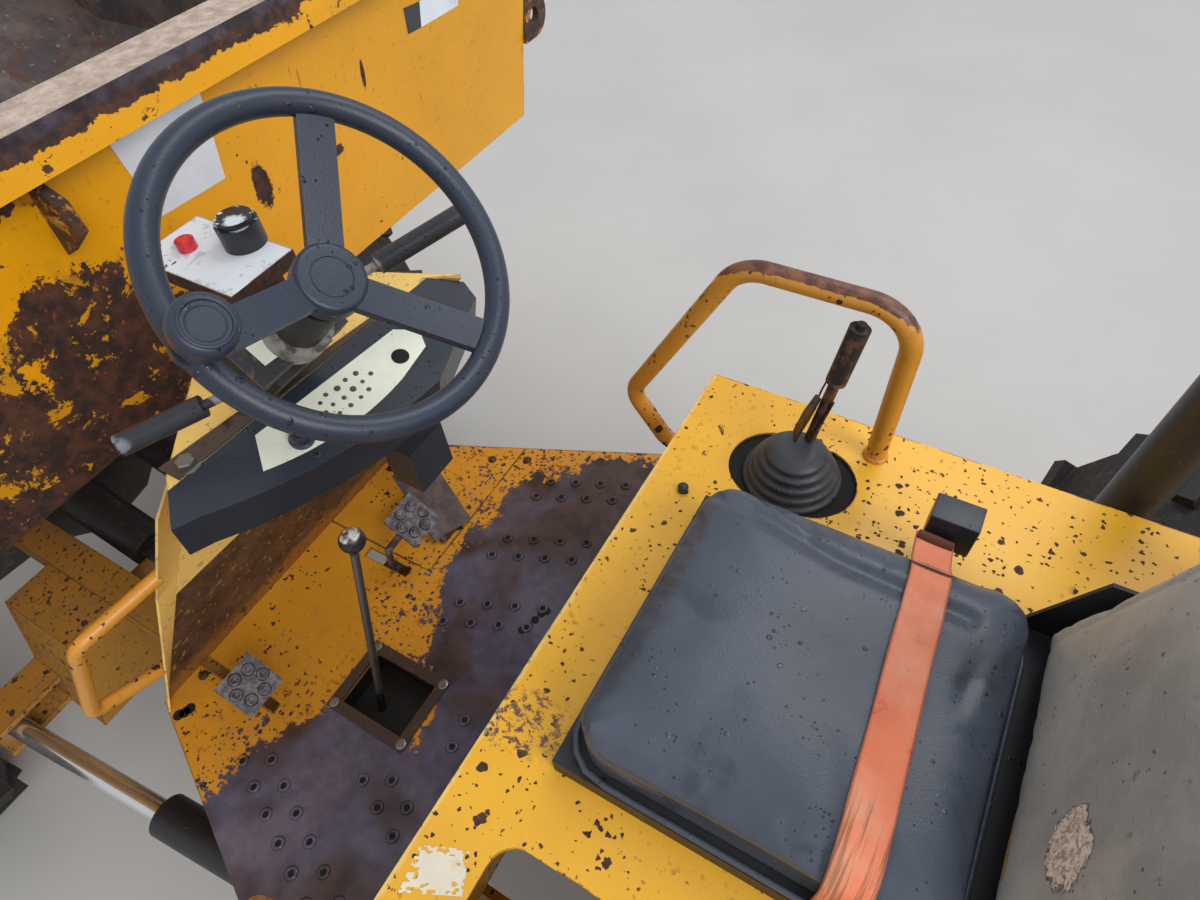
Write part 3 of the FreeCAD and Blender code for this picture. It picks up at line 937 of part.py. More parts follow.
def engine_and_cover():
    """A plain engine block under a hollow tilting cover."""
    node("engine_block", box("engine_block", ("bonnet_back_x + 260", "bonnet_front_x - 60"),
                             ("-260", "260"), ("rear_low + 110", "bonnet_top - 120")))
    silencer = rod("silencer", "75", "380", ("rear_axle_x + 30", "-430", "exhaust_height"), "X")
    pipe = rod("exhaust_pipe", "24", "170", ("rear_axle_x + 120", "-430", "exhaust_height"), "Y")
    tail = rod("exhaust_tail", "24", "200", ("rear_axle_x - 170", "-430", "exhaust_height"), "X")
    node("exhaust", cut("exhaust", fuse("exhaust_blank", silencer, pipe, tail), nodes["engine_block"]))
    side_view = prism("cover_side_view", "XZ", [
        ("bonnet_front_x", "bonnet_hinge_height"), ("bonnet_front_x", "bonnet_top"),
        ("bonnet_back_x + 330", "bonnet_top - 60"),
        ("bonnet_back_x + bonnet_back_lean", "bonnet_top - bonnet_back_drop"),
        ("bonnet_back_x", "bonnet_hinge_height")], "0", "2 * bonnet_half")
    doc.recompute()
    bottom = []
    for number, face in enumerate(side_view.Shape.Faces, start=1):
        if face.normalAt(0, 0).z < -0.9:
            bottom.append(f"Face{number}")
    cover = doc.addObject("Part::Thickness", "engine_cover_sheet")
    cover.Faces = (side_view, bottom)
    cover.setExpression("Value", bound("-bonnet_wall"))
    cover.Join = 2
    lean = "bonnet_back_lean / (bonnet_top - bonnet_back_drop - bonnet_hinge_height)"

    def rear_band(name, low, high, outer, inner, half):
        """A block that follows the slope of the cover's rear face between two heights above the hinge."""
        return prism(name, "XZ", [
            (f"bonnet_back_x + ({low}) * {lean} - ({outer})", f"bonnet_hinge_height + {low}"),
            (f"bonnet_back_x + ({high}) * {lean} - ({outer})", f"bonnet_hinge_height + {high}"),
            (f"bonnet_back_x + ({high}) * {lean} + {inner}", f"bonnet_hinge_height + {high}"),
            (f"bonnet_back_x + ({low}) * {lean} + {inner}",
             f"bonnet_hinge_height + {low}")], "0", f"2 * ({half})")

    inner = "bonnet_wall * 3"
    window = rear_band("grille_window", "grille_low", "grille_high", "40", "60", "grille_half")
    surround = rear_band("grille_surround", "grille_low", "grille_high", "grille_proud", inner,
                         "grille_half")
    opening = rear_band("grille_opening", "grille_low + grille_rim", "grille_high - grille_rim", "40",
                        "60",
                        "grille_half - grille_rim")
    slats = [cut("grille_frame", surround, opening)]
    for number in range(1, int((s.grille_high - s.grille_low - 2 * s.grille_rim) / s.slat_pitch) + 1):
        level = f"grille_low + grille_rim + slat_pitch * {number} - slat_pitch / 2"
        slats.append(rear_band(f"grille_slat_{number}", level, f"{level} + slat_thick", "0", inner,
                               "grille_half - grille_rim"))
    node("rear_grille", fuse("rear_grille", *slats))
    vents = []
    for number in range(5):
        low = f"bonnet_hinge_height + 130 + vent_pitch * {number}"
        vents.append(box(f"cover_vent_{number}", ("vent_back_x", "vent_front_x"),
                         ("-bonnet_half - 20", "bonnet_half + 20"), (low, f"{low} + vent_tall")))
    barrels = [rod(f"hinge_barrel_{number}", "hinge_barrel_radius", "70",
                   ("bonnet_back_x", start, "bonnet_hinge_height"), "Y")
               for number, start in enumerate(("210", "-280"))]
    node("engine_cover", fuse("engine_cover", cut("engine_cover_cut", cover, window, *vents), *barrels))
    deck = box("engine_deck_blank", ("rear_back_x - rear_side_thick", "plinth_back_x"),
               ("-plinth_half", "plinth_half"),
               ("floor_height - floor_thick", "bonnet_hinge_height - face_gap"))
    well = box("engine_deck_well", ("bonnet_back_x + 40", "bonnet_front_x - 20"),
               ("-bonnet_half + 40", "bonnet_half - 40"),
               ("floor_height - 60", "floor_height + 80"))
    notches = [box(f"hinge_notch_{number}", ("rear_back_x - rear_side_thick - 10", "bonnet_back_x + 20"),
                   (start, f"{start} + 90"),
                   ("floor_height - 60", "floor_height + 80")) for number, start in enumerate(("200",
                                                                                               "-290"))]
    node("engine_deck", cut("engine_deck", deck, well, *notches))


def roll_bar():
    """Two-post roll bar behind the seat, on feet outside the plinth."""
    low = s.floor_height - s.floor_thick
    high = s.roll_bar_top - s.roll_bar_radius
    back = s.roll_bar_x - s.roll_bar_lean
    half = s.roll_bar_half
    points = [Vector(s.roll_bar_x, -half, low - 5), Vector(back, -half, high), Vector(back, half, high),
              Vector(s.roll_bar_x, half, low - 5)]
    below = Part.makeBox(400, 3 * half, 100, Vector(s.roll_bar_x - 200, -1.5 * half, low - 100))
    node("roll_bar", shaped("roll_bar", bent_tube(points, s.roll_bar_bend, s.roll_bar_radius).cut(below)))


def tanks_and_steps():
    """Tanks on the sides of the chassis under the seat, with a step below each."""
    tank = box("side_tank", ("tank_back_x", "tank_front_x"),
               ("rear_side_y + rear_side_thick / 2", "tank_outer_y"),
               ("tank_low", "floor_height - floor_thick - 40"))
    node("side_tanks", both_sides("side_tanks", tank))
    tread = box("step_tread", ("tank_front_x - 240", "tank_front_x - 20"),
                ("tank_outer_y - 75", "tank_outer_y + 45"), ("tank_low - 105", "tank_low - 85"))
    straps = [box(f"step_strap_{name}", (where, f"{where} + 12"),
                  ("tank_outer_y - 75", "tank_outer_y - 5"), ("tank_low - 85", "tank_low"))
              for name, where in (("back", "tank_front_x - 240"), ("front", "tank_front_x - 32"))]
    node("side_steps", both_sides("side_steps", fuse("side_step", tread, *straps)))


def wheel_frame():
    """Middle of the steering wheel and the turn that lays local +Z along its axis."""
    centre = Vector(s.wheel_x, 0, s.floor_height + s.wheel_rise)
    return centre, Rotation(Vector(0, 1, 0), -s.wheel_lean)


def steering_wheel():
    """Three-spoked wheel with a dished hub and a spinner knob, on its column."""
    centre, turn = wheel_frame()
    rim = Part.makeTorus(s.wheel_radius, s.wheel_rim_radius)
    cap = Part.makeCylinder(s.hub_cap_radius, 26.0, Vector(0, 0, -s.hub_dish - 26.0))
    cap = cap.makeFillet(6.0, [edge for edge in cap.Edges if edge.CenterOfMass.z > -s.hub_dish - 1.0])
    boss = Part.makeCone(20.0, s.hub_cap_radius - 3.0, 26.0, Vector(0, 0, -s.hub_dish - 52.0))
    spokes = []
    for angle in (s.spoke_angle, s.spoke_angle + 120.0, s.spoke_angle + 240.0):
        ends = []
        for along, middle in ((s.hub_cap_radius - 14.0, -s.hub_dish - 12.0),
                              (s.wheel_radius - 4.0, -1.0)):
            corners = [Vector(along, side * s.spoke_wide / 2, middle + height)
                       for side, height in ((-1, -6.0), (1, -6.0), (1, 6.0), (-1, 6.0))]
            ends.append(Part.makePolygon(corners + corners[:1]))
        bar = Part.makeLoft(ends, True, True)
        bar.rotate(Vector(), Vector(0, 0, 1), angle)
        spokes.append(bar)
    wheel = rim.fuse([cap, boss] + spokes)
    wheel.Placement = Placement(centre, turn)
    node("steering_wheel", shaped("steering_wheel", wheel))
    stem = Part.makeCylinder(9.0, 32.0, Vector(s.knob_reach, 0, 5))
    ball = Part.makeCylinder(s.knob_radius, 26.0, Vector(s.knob_reach, 0, 33))
    ball = ball.makeFillet(8.0, ball.Edges)
    base = Part.makeCylinder(22.0, 12.0, Vector(s.knob_reach, 0, -4))
    knob = ball.fuse([stem, base])
    knob.rotate(Vector(), Vector(0, 0, 1), s.spoke_angle)
    knob.Placement = Placement(centre, turn).multiply(knob.Placement)
    node("spinner_knob", shaped("spinner_knob", knob.cut(wheel)))
    head = -s.hub_dish - 52.0
    column = Part.makeCylinder(s.column_radius, s.column_length, Vector(0, 0, head - s.column_length))
    shroud = Part.makeBox(68, 98, 46, Vector(-26, -20, -246))
    clamp = Part.makeBox(44, 46, 36, Vector(-32, -62, -242))
    foot = Part.makeBox(76, 92, 62, Vector(-34, -46, -306))
    column = column.fuse([shroud, clamp, foot])
    column.Placement = Placement(centre, turn)
    node("steering_column", shaped("steering_column", column))


def ruled_sheet(edges, way):
    """A thin folded sheet through straight edges, each given by its two ends; way is its thickness and direction."""
    rings = [Part.makePolygon([start, end, end + way, start + way, start]) for start, end in edges]
    return Part.makeLoft(rings, True, True)


def slab(points, thick):
    """A flat plate from its upper outline, which lies level, down by a thickness."""
    ring = Part.makePolygon(points + points[:1])
    return Part.Face(ring).extrude(Vector(0, 0, -thick))


def tower_side(side, foot, top, rear_ends):
    """Edges of a tower side sheet, from the front sheet's edge out to its own rear edge, at four heights."""
    edges = []
    for rise, x, y in rear_ends:
        front = foot + (top - foot) * (rise / s.tower_top_rise)
        edges.append((front, Vector(x, side * y, s.floor_height + rise)))
    return edges


def dash_tower():
    """Sheet tower that rises from the front edge of the floor and carries the column and the dash."""
    z0 = s.floor_height
    z1 = s.floor_height + s.tower_top_rise
    wall = s.tower_wall
    back = Vector(-wall, 0, 0)
    foot_left = Vector(s.floor_front_x, s.floor_front_half - 2, z0)
    foot_right = Vector(s.floor_front_x, -s.floor_front_half + 2, z0)
    top_left = Vector(s.cowl_front_left_x, s.cowl_front_left_y, z1)
    top_right = Vector(s.cowl_front_right_x, s.cowl_front_right_y, z1)
    split = 0.42
    waist_left = foot_left + (top_left - foot_left) * split
    waist_right = foot_right + (top_right - foot_right) * split
    column = Part.makeCylinder(s.column_radius + s.face_gap, 700.0, Vector(0, 0, -700.0))
    column.Placement = Placement(*wheel_frame())
    toe = ruled_sheet([(foot_left, foot_right), (waist_left, waist_right)], back)
    front = ruled_sheet([(waist_left, waist_right), (top_left, top_right)], back)
    node("toe_board", shaped("toe_board", toe))
    node("tower_front", shaped("tower_front", front.cut(column)))
    # Rear edge of each side sheet: height above the floor, X, distance from the centre line.
    left_ends = [(0.0, 272.0, 388.0), (350.0, 181.0, 268.0), (620.0, 31.0, 215.0),
                 (s.tower_top_rise, s.cowl_left_x, s.cowl_left_y)]
    right_ends = [(0.0, 272.0, 388.0), (350.0, 160.0, 345.0), (620.0, -45.0, 300.0),
                  (s.tower_top_rise, s.cowl_right_x, -s.cowl_right_y)]
    left_edges = tower_side(1, foot_left, top_left, left_ends)
    right_edges = tower_side(-1, foot_right, top_right, right_ends)
    inward = {1: Vector(-0.8, -0.6, 0), -1: Vector(-0.8, 0.6, 0)}
    left = ruled_sheet(left_edges, inward[1] * wall)
    right = ruled_sheet(right_edges, inward[-1] * wall)
    # The moulding lies in its own frame: X along the edge it shares with the cowl, Y towards the seat, Z down into it.
    left_end = Vector(s.dash_left_x, s.dash_left_y, z1 + wall)
    right_end = Vector(s.dash_right_x, s.dash_right_y, z1 + wall)
    along = (right_end - left_end).normalize()
    tilt = math.radians(s.dash_tilt)
    level = Vector(along.y, -along.x, 0)
    towards = level * math.cos(tilt) - Vector(0, 0, math.sin(tilt))
    dash = Placement(left_end, Rotation(along, towards, along.cross(towards), "ZXY"))
    long = (right_end - left_end).Length
    shape = [Vector(0, 0, 0), Vector(long, 0, 0), Vector(long + 32, 46, 0), Vector(long + 20, 80, 0),
             Vector(long - 6, 88, 0),
             Vector(long - 130, 137, 0)]
    belly = Vector(151, 113, 0)
    toe_point = Vector(0, 54, 0)
    heel_point = Vector(-32, 43, 0)
    edges = [Part.LineSegment(*pair).toShape() for pair in zip(shape, shape[1:])]
    edges.append(Part.Arc(shape[-1], belly, toe_point).toShape())
    edges.append(Part.LineSegment(toe_point, heel_point).toShape())
    edges.append(Part.LineSegment(heel_point, shape[0]).toShape())
    face = Part.Face(Part.Wire(edges))
    block = face.extrude(Vector(0, 0, s.dash_deep))
    room = face.makeOffset2D(-s.dash_wall).extrude(Vector(0, 0, s.dash_deep))
    room.translate(Vector(0, 0, s.dash_wall))
    window = [Vector(118, 18, 0), Vector(360, 30, 0), Vector(384, 58, 0), Vector(368, 84, 0),
              Vector(306, 97, 0)]
    window_edges = [Part.LineSegment(*pair).toShape() for pair in zip(window, window[1:])]
    window_edges.append(Part.Arc(window[-1], Vector(190, 95, 0), Vector(88, 64, 0)).toShape())
    window_edges.append(Part.LineSegment(Vector(88, 64, 0), window[0]).toShape())
    panel = Part.Face(Part.Wire(window_edges)).extrude(Vector(0, 0, s.dash_panel_thick))
    moulding = block.cut([room, panel])
    for piece in (block, moulding, panel):
        piece.Placement = dash
    sides = [piece.cut([toe, front, block]) for piece in (left, right)]
    node("tower_sides", shaped("tower_sides", Part.Compound(sides)))
    corners = [Vector(s.cowl_left_x, s.cowl_left_y, z1), top_left, top_right,
               Vector(s.cowl_right_x, s.cowl_right_y, z1),
               right_end, left_end]
    cowl = slab([Vector(corner.x, corner.y, z1 + wall) for corner in corners], wall)
    node("tower_cowl", shaped("tower_cowl", cowl.cut([column, block])))
    node("dash_moulding", shaped("dash_moulding", moulding))
    node("dash_panel", shaped("dash_panel", panel))
    ahead = ruled_sheet([(foot_left, foot_right), (top_left, top_right)], Vector(400, 0, 0))
    return ahead, ruled_sheet(left_edges, inward[1] * 90)


def grab_handle(inside):
    """Small tube handle on the left side of the tower."""
    z0 = s.floor_height
    points = [Vector(140, 225, z0 + 425), Vector(160, 392, z0 + 418), Vector(235, s.handle_out, z0 + 205),
              Vector(250, 300, z0 + 116)]
    tube = bent_tube(points, 26.0, s.handle_radius)
    handle = tube.cut([inside, nodes["toe_board"].Shape])
    node("grab_handle", shaped("grab_handle", max(handle.Solids, key=lambda solid: solid.Volume)))


def bar_between(start, end, radius):
    return Part.makeCylinder(radius, (end - start).Length, start, end - start)


def controls():
    """Stalks, levers, pedals and the bracket behind the steering wheel."""
    centre, turn = wheel_frame()
    axis = turn.multVec(Vector(0, 0, 1))
    on_column = centre - axis * 190.0
    collar = Part.makeCylinder(s.column_radius + 9, 34.0, on_column - axis * 17, axis)
    sleeve = Part.makeCylinder(s.column_radius, 90.0, on_column - axis * 45, axis)
    z0 = s.floor_height
    left_bend = Vector(-92, 96, z0 + 807)
    left_tip = Vector(-24, 200, z0 + 792)
    right_bend = Vector(-120, -140, z0 + 832)
    right_tip = Vector(-206, -268, z0 + 872)
    stalks = collar
    for bend, tip in ((left_bend, left_tip), (right_bend, right_tip)):
        out = (tip - bend).normalize()
        stalks = stalks.fuse([bar_between(on_column, bend, 6.0), Part.makeSphere(6.0, bend),
                              bar_between(bend, bend + out * 30, 6.0),
                              bar_between(bend + out * 22, tip, 14.0)])
    node("column_stalks", shaped("column_stalks", stalks.cut([sleeve, nodes["steering_column"].Shape])))
    base = Vector(s.gear_hole_x + 19, s.gear_hole_y + 23, z0 - 60)
    knob = Vector(-32, 20, z0 + 340)
    lever = bar_between(base, knob, 8.0).fuse(Part.makeSphere(24.0, knob))
    corner = Vector(s.gear_hole_x - s.gear_hole_long / 2, s.gear_hole_y - s.gear_hole_wide / 2, z0 - 60)
    skirt = Part.makeBox(s.gear_hole_long + 24, s.gear_hole_wide + 24, 60 - s.floor_thick,
                         corner - Vector(12, 12, 0))
    well = Part.makeBox(s.gear_hole_long, s.gear_hole_wide, 60, corner + Vector(0, 0, 8))
    node("gear_lever", shaped("gear_lever", skirt.cut(well).fuse(lever)))
    # The bracket over the cowl with its push controls.
    post_foot = Vector(6, -80, z0 + s.tower_top_rise + s.tower_wall)
    panel_low = Vector(-15, -125, post_foot.z + s.bracket_rise)
    panel_top = panel_low.z + 22
    panel = Part.makeBox(190, 110, 22, panel_low)
    post = Part.makeBox(16, 44, panel_low.z - post_foot.z, post_foot - Vector(8, 22, 0))
    foot = Part.makeBox(56, 70, 5, post_foot - Vector(28, 35, 0))
    node("control_bracket", shaped("control_bracket", panel.fuse([post, foot]).cut(sleeve)))
    lens = Part.makeCylinder(13.0, 14.0, Vector(122, -64, panel_top))
    cap = Part.makeCylinder(29.0, 34.0, Vector(56, -108, panel_top)).fuse(Part.makeCylinder(24.0, 8.0,
            Vector(56, -108, panel_top + 34)))
    node("control_buttons", shaped("control_buttons", Part.Compound([lens, cap])))


def tilted_plate(centre, long_way, wide_way, size):
    """A flat plate set by its middle and by the directions of its length and width."""
    long_way = long_way.normalize()
    normal = long_way.cross(wide_way).normalize()
    wide_way = normal.cross(long_way)
    plate = Part.makeBox(size[0], size[1], size[2], Vector(-size[0] / 2, -size[1] / 2, -size[2] / 2))
    plate.Placement = Placement(centre, Rotation(long_way, wide_way, normal, "ZXY"))
    return plate


def pedals():
    """Clutch and brake pedals through their slots, accelerator hinged on its floor plate."""
    z0 = s.floor_height
    left = Vector(0, 1, 0)
    pad_way = Vector(0.82, 0, 0.57)
    shaft_z = z0 - 40
    clutch_pad = Vector(100, s.clutch_y, z0 + 100)
    clutch_foot = Vector(150, s.clutch_y, shaft_z)
    clutch = tilted_plate(clutch_pad, pad_way, left, (85, 85, 8)).fuse([
        bar_between(clutch_foot, clutch_pad, 8.0), Part.makeCylinder(9.0,
                s.clutch_y - s.console_y - 15 + 10, Vector(150, s.console_y + 15, shaft_z), left)])
    brake_pad = Vector(39, -149, z0 + 130)
    brake_foot = Vector(100, s.brake_y, shaft_z)
    elbow = Vector(76, s.brake_y, z0 + 70)
    brake = tilted_plate(brake_pad, pad_way, left, (85, 85, 8)).fuse([
        bar_between(brake_foot, elbow, 8.0), Part.makeSphere(8.0, elbow), bar_between(elbow, brake_pad,
                                                                                      8.0),
        Part.makeCylinder(9.0, s.console_y - 15 + s.brake_y + 10, Vector(100, -s.console_y + 15, shaft_z),
                          left)])
    heel = Vector(18, -222, z0 + 9)
    toe = Vector(158, -278, z0 + 100)
    tread = tilted_plate((heel + toe) * 0.5, toe - heel, Vector(58, 140, 0), (180, 95, 7))
    prop = bar_between(Vector(toe.x - 12, toe.y + 5, z0), toe - Vector(12, -5, 6), 9.0)
    heel_block = Part.makeBox(26, 70, 12, Vector(heel.x - 2, heel.y - 35, z0))
    slab_above = Part.makeBox(600, 600, 60, Vector(-200, -500, z0 - 60))
    accelerator = tread.fuse([prop, heel_block]).cut(slab_above)
    node("pedals", shaped("pedals", Part.Compound([clutch, brake, accelerator])))


def handbrake():
    """Handbrake lever that rises from a bellows in the plinth's oval opening."""
    top = s.floor_height + s.plinth_rise
    foot = Vector(s.oval_x + 3, s.oval_y - 28, top - 40)
    grip_end = Vector(s.grip_x, s.grip_y, top + s.grip_rise)
    grip_foot = grip_end + Vector(13, 13, -s.grip_long)
    knob = bar_between(grip_end, grip_end + Vector(-1, -1, 8), 7.0)
    lever = bar_between(foot, grip_foot, 9.0).fuse(
        [bar_between(grip_foot, grip_end, 16.0), Part.makeSphere(9.0, grip_foot), knob])
    node("handbrake_lever", shaped("handbrake_lever", lever))
    centre = Vector(s.oval_x, s.oval_y, top - s.plinth_wall)
    flange = Part.makeCylinder(s.oval_wide / 2 - 1, 5.0, centre)
    lip = Part.makeBox(s.oval_long + 24, s.oval_wide + 24, 4.0,
                       centre - Vector(s.oval_long / 2 + 12, s.oval_wide / 2 + 12, 4))
    rings = [Part.makeCylinder(radius, 13.0, centre + Vector(0, 0, 5 + 13 * step))
             for step, radius in enumerate((66, 54, 62, 50, 56))]
    node("handbrake_gaiter", shaped("handbrake_gaiter", lip.fuse([flange] + rings).cut(lever)))


def belt_and_fuses(ahead):
    """Lap belt over the cushion with its buckle, and the fuse block on a strap behind the tower's front sheet."""
    seat = s.floor_height + s.plinth_rise
    over = seat + s.pan_thick + s.cushion_thick
    left = s.seat_y + s.seat_wide / 2 + 6
    right = s.seat_y - s.seat_wide / 2
    thick = s.belt_thick
    hang = right - s.buckle_out + s.buckle_wide - 8
    path = [(left + thick, seat + 12), (left + thick, over + thick), (right - 4, over + thick),
            (hang, over - 36), (hang, over - 36 - thick - 1), (right - 4, over), (left, over), (left, seat + 12)]
    ring = Part.makePolygon([Vector(s.belt_back_x, y, z) for y, z in path + path[:1]])
    belt = Part.Face(ring).extrude(Vector(s.belt_wide, 0, 0))
    buckle = Part.makeBox(s.belt_wide + 13, s.buckle_wide, s.buckle_tall,
                          Vector(s.belt_back_x - 6, right - s.buckle_out, over - s.buckle_drop))
    stalk_foot = Vector(s.belt_back_x + 10, right - s.buckle_out + 24, seat + s.stalk_rise)
    stalk = Part.makeBox(34, s.buckle_out - 26, 6, stalk_foot)
    post = Part.makeBox(34, 6, 60, stalk_foot)
    pan = nodes["seat_pan"].Shape
    node("lap_belt", shaped("lap_belt", belt.cut(buckle)))
    node("belt_buckle", shaped("belt_buckle", buckle.fuse([stalk, post]).cut(pan)))
    z0 = s.floor_height
    block = Part.makeBox(62, 84, 96, Vector(-124, -176, z0 + 402))
    strap = Part.makeBox(300, 30, 5, Vector(-66, -150, z0 + 440))
    node("fuse_block", shaped("fuse_block", block.fuse(strap).cut([ahead, nodes["tower_front"].Shape])))


ground_wheels()
axle("front_axle", "front_axle_x")
axle("rear_axle", "rear_axle_x")
rear_chassis()
front_chassis()
skip()
tipping_rams()
steering_ram()
floor()
plinth()
rails()
seat()
engine_and_cover()
roll_bar()
tanks_and_steps()
steering_wheel()
ahead_of_tower, inside_tower = dash_tower()
grab_handle(inside_tower)
controls()
pedals()
handbrake()
doc.recompute()
belt_and_fuses(ahead_of_tower)
doc.recompute()

faults = [f"{item.Name}: {item.State}" for item in doc.Objects if {"Invalid", "Error"} & set(item.State)]
for label, item in nodes.items():
    if item.Shape.isNull() or not item.Shape.isValid() or not item.Shape.Solids:
        faults.append(f"{label}: bad shape")
if faults:
    raise SystemExit("\n".join(faults))
os.makedirs("parts", exist_ok=True)
for label, item in nodes.items():
    item.Shape.exportStep(f"parts/{label}.step")
print(len(nodes), "sub-parts written")
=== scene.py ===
"""The looks of a weathered site dumper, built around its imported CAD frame. Metres throughout."""

import json
import math

import bmesh
import bpy
from mathutils import Matrix, Vector, noise
from mathutils.bvhtree import BVHTree


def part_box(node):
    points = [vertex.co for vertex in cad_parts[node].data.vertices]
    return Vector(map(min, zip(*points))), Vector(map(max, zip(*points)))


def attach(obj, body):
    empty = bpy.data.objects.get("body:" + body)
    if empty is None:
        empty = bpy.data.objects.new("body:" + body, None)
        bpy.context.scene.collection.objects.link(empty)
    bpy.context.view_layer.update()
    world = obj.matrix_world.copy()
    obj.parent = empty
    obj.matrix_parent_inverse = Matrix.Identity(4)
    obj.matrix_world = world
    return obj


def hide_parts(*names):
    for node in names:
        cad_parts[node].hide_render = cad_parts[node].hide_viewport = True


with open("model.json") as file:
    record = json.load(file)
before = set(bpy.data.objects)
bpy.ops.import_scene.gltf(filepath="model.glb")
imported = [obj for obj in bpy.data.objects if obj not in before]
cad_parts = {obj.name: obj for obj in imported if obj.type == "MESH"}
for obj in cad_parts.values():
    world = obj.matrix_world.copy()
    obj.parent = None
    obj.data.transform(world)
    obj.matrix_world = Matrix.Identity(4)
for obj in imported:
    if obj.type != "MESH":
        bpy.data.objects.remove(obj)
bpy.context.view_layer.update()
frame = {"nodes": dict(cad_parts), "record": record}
nodes = frame["nodes"]

# ---------------------------------------------------------------- camera, floor and light

CAMERA_PLACE = (-0.825, 0.385, 2.380)
CAMERA_RIGHT = (-0.86632, -0.49484, -0.06663)
CAMERA_UP = (0.34782, -0.69383, 0.63023)
CAMERA_BACK = (-0.35841, 0.52316, 0.77354)
CAMERA_LENS = 22.60
SENSOR = 36.0
PHOTO_WIDE = 1200
PHOTO_TALL = 900
FLOOR_HALF = 14.0
FLOOR_COLOUR = (0.56, 0.545, 0.52)
SKY_COLOUR = (0.90, 0.94, 1.0)
SKY_STRENGTH = 0.68
SUN_STRENGTH = 1.75
SUN_WIDTH = math.radians(34)
SUN_FROM = (-0.80, 0.22, 0.62)
SOFTBOX_PLACE = (-1.6, -3.2, 6.2)
SOFTBOX_AIM = (-0.6, 0.0, 1.3)
SOFTBOX_SIZE = 2.6
SOFTBOX_POWER = 75.0


def make_camera():
    data = bpy.data.cameras.new("photo_camera")
    data.lens = CAMERA_LENS
    data.sensor_width = SENSOR
    data.clip_start = 0.02
    camera = bpy.data.objects.new("photo_camera", data)
    bpy.context.scene.collection.objects.link(camera)
    turn = Matrix((CAMERA_RIGHT, CAMERA_UP, CAMERA_BACK)).transposed()
    camera.matrix_world = Matrix.Translation(CAMERA_PLACE) @ turn.to_4x4()
    bpy.context.scene.camera = camera


def make_light():
    world = bpy.data.worlds.new("soft_sky")
    bpy.context.scene.world = world
    world.use_nodes = True
    background = world.node_tree.nodes["Background"]
    background.inputs["Color"].default_value = (*SKY_COLOUR, 1)
    background.inputs["Strength"].default_value = SKY_STRENGTH
    lamp = bpy.data.lights.new("soft_sun", "SUN")
    lamp.energy = SUN_STRENGTH
    lamp.angle = SUN_WIDTH
    sun = bpy.data.objects.new("soft_sun", lamp)
    sun.rotation_euler = Vector(SUN_FROM).to_track_quat("Z", "Y").to_euler()
    bpy.context.scene.collection.objects.link(sun)
    lamp = bpy.data.lights.new("softbox", "AREA")
    lamp.energy = SOFTBOX_POWER
    lamp.size = SOFTBOX_SIZE
    softbox = bpy.data.objects.new("softbox", lamp)
    softbox.location = SOFTBOX_PLACE
    away = Vector(SOFTBOX_PLACE) - Vector(SOFTBOX_AIM)
    softbox.rotation_euler = away.to_track_quat("Z", "Y").to_euler()
    bpy.context.scene.collection.objects.link(softbox)
    bpy.context.scene.view_settings.view_transform = "Standard"


# ---------------------------------------------------------------- materials


def tone(red, green, blue):
    """A colour read off the photograph, 0 to 255, as linear light."""
    linear = []
    for part in (red, green, blue):
        share = part / 255
        linear.append(share / 12.92 if share <= 0.04045 else ((share + 0.055) / 1.055) ** 2.4)
    return tuple(linear)


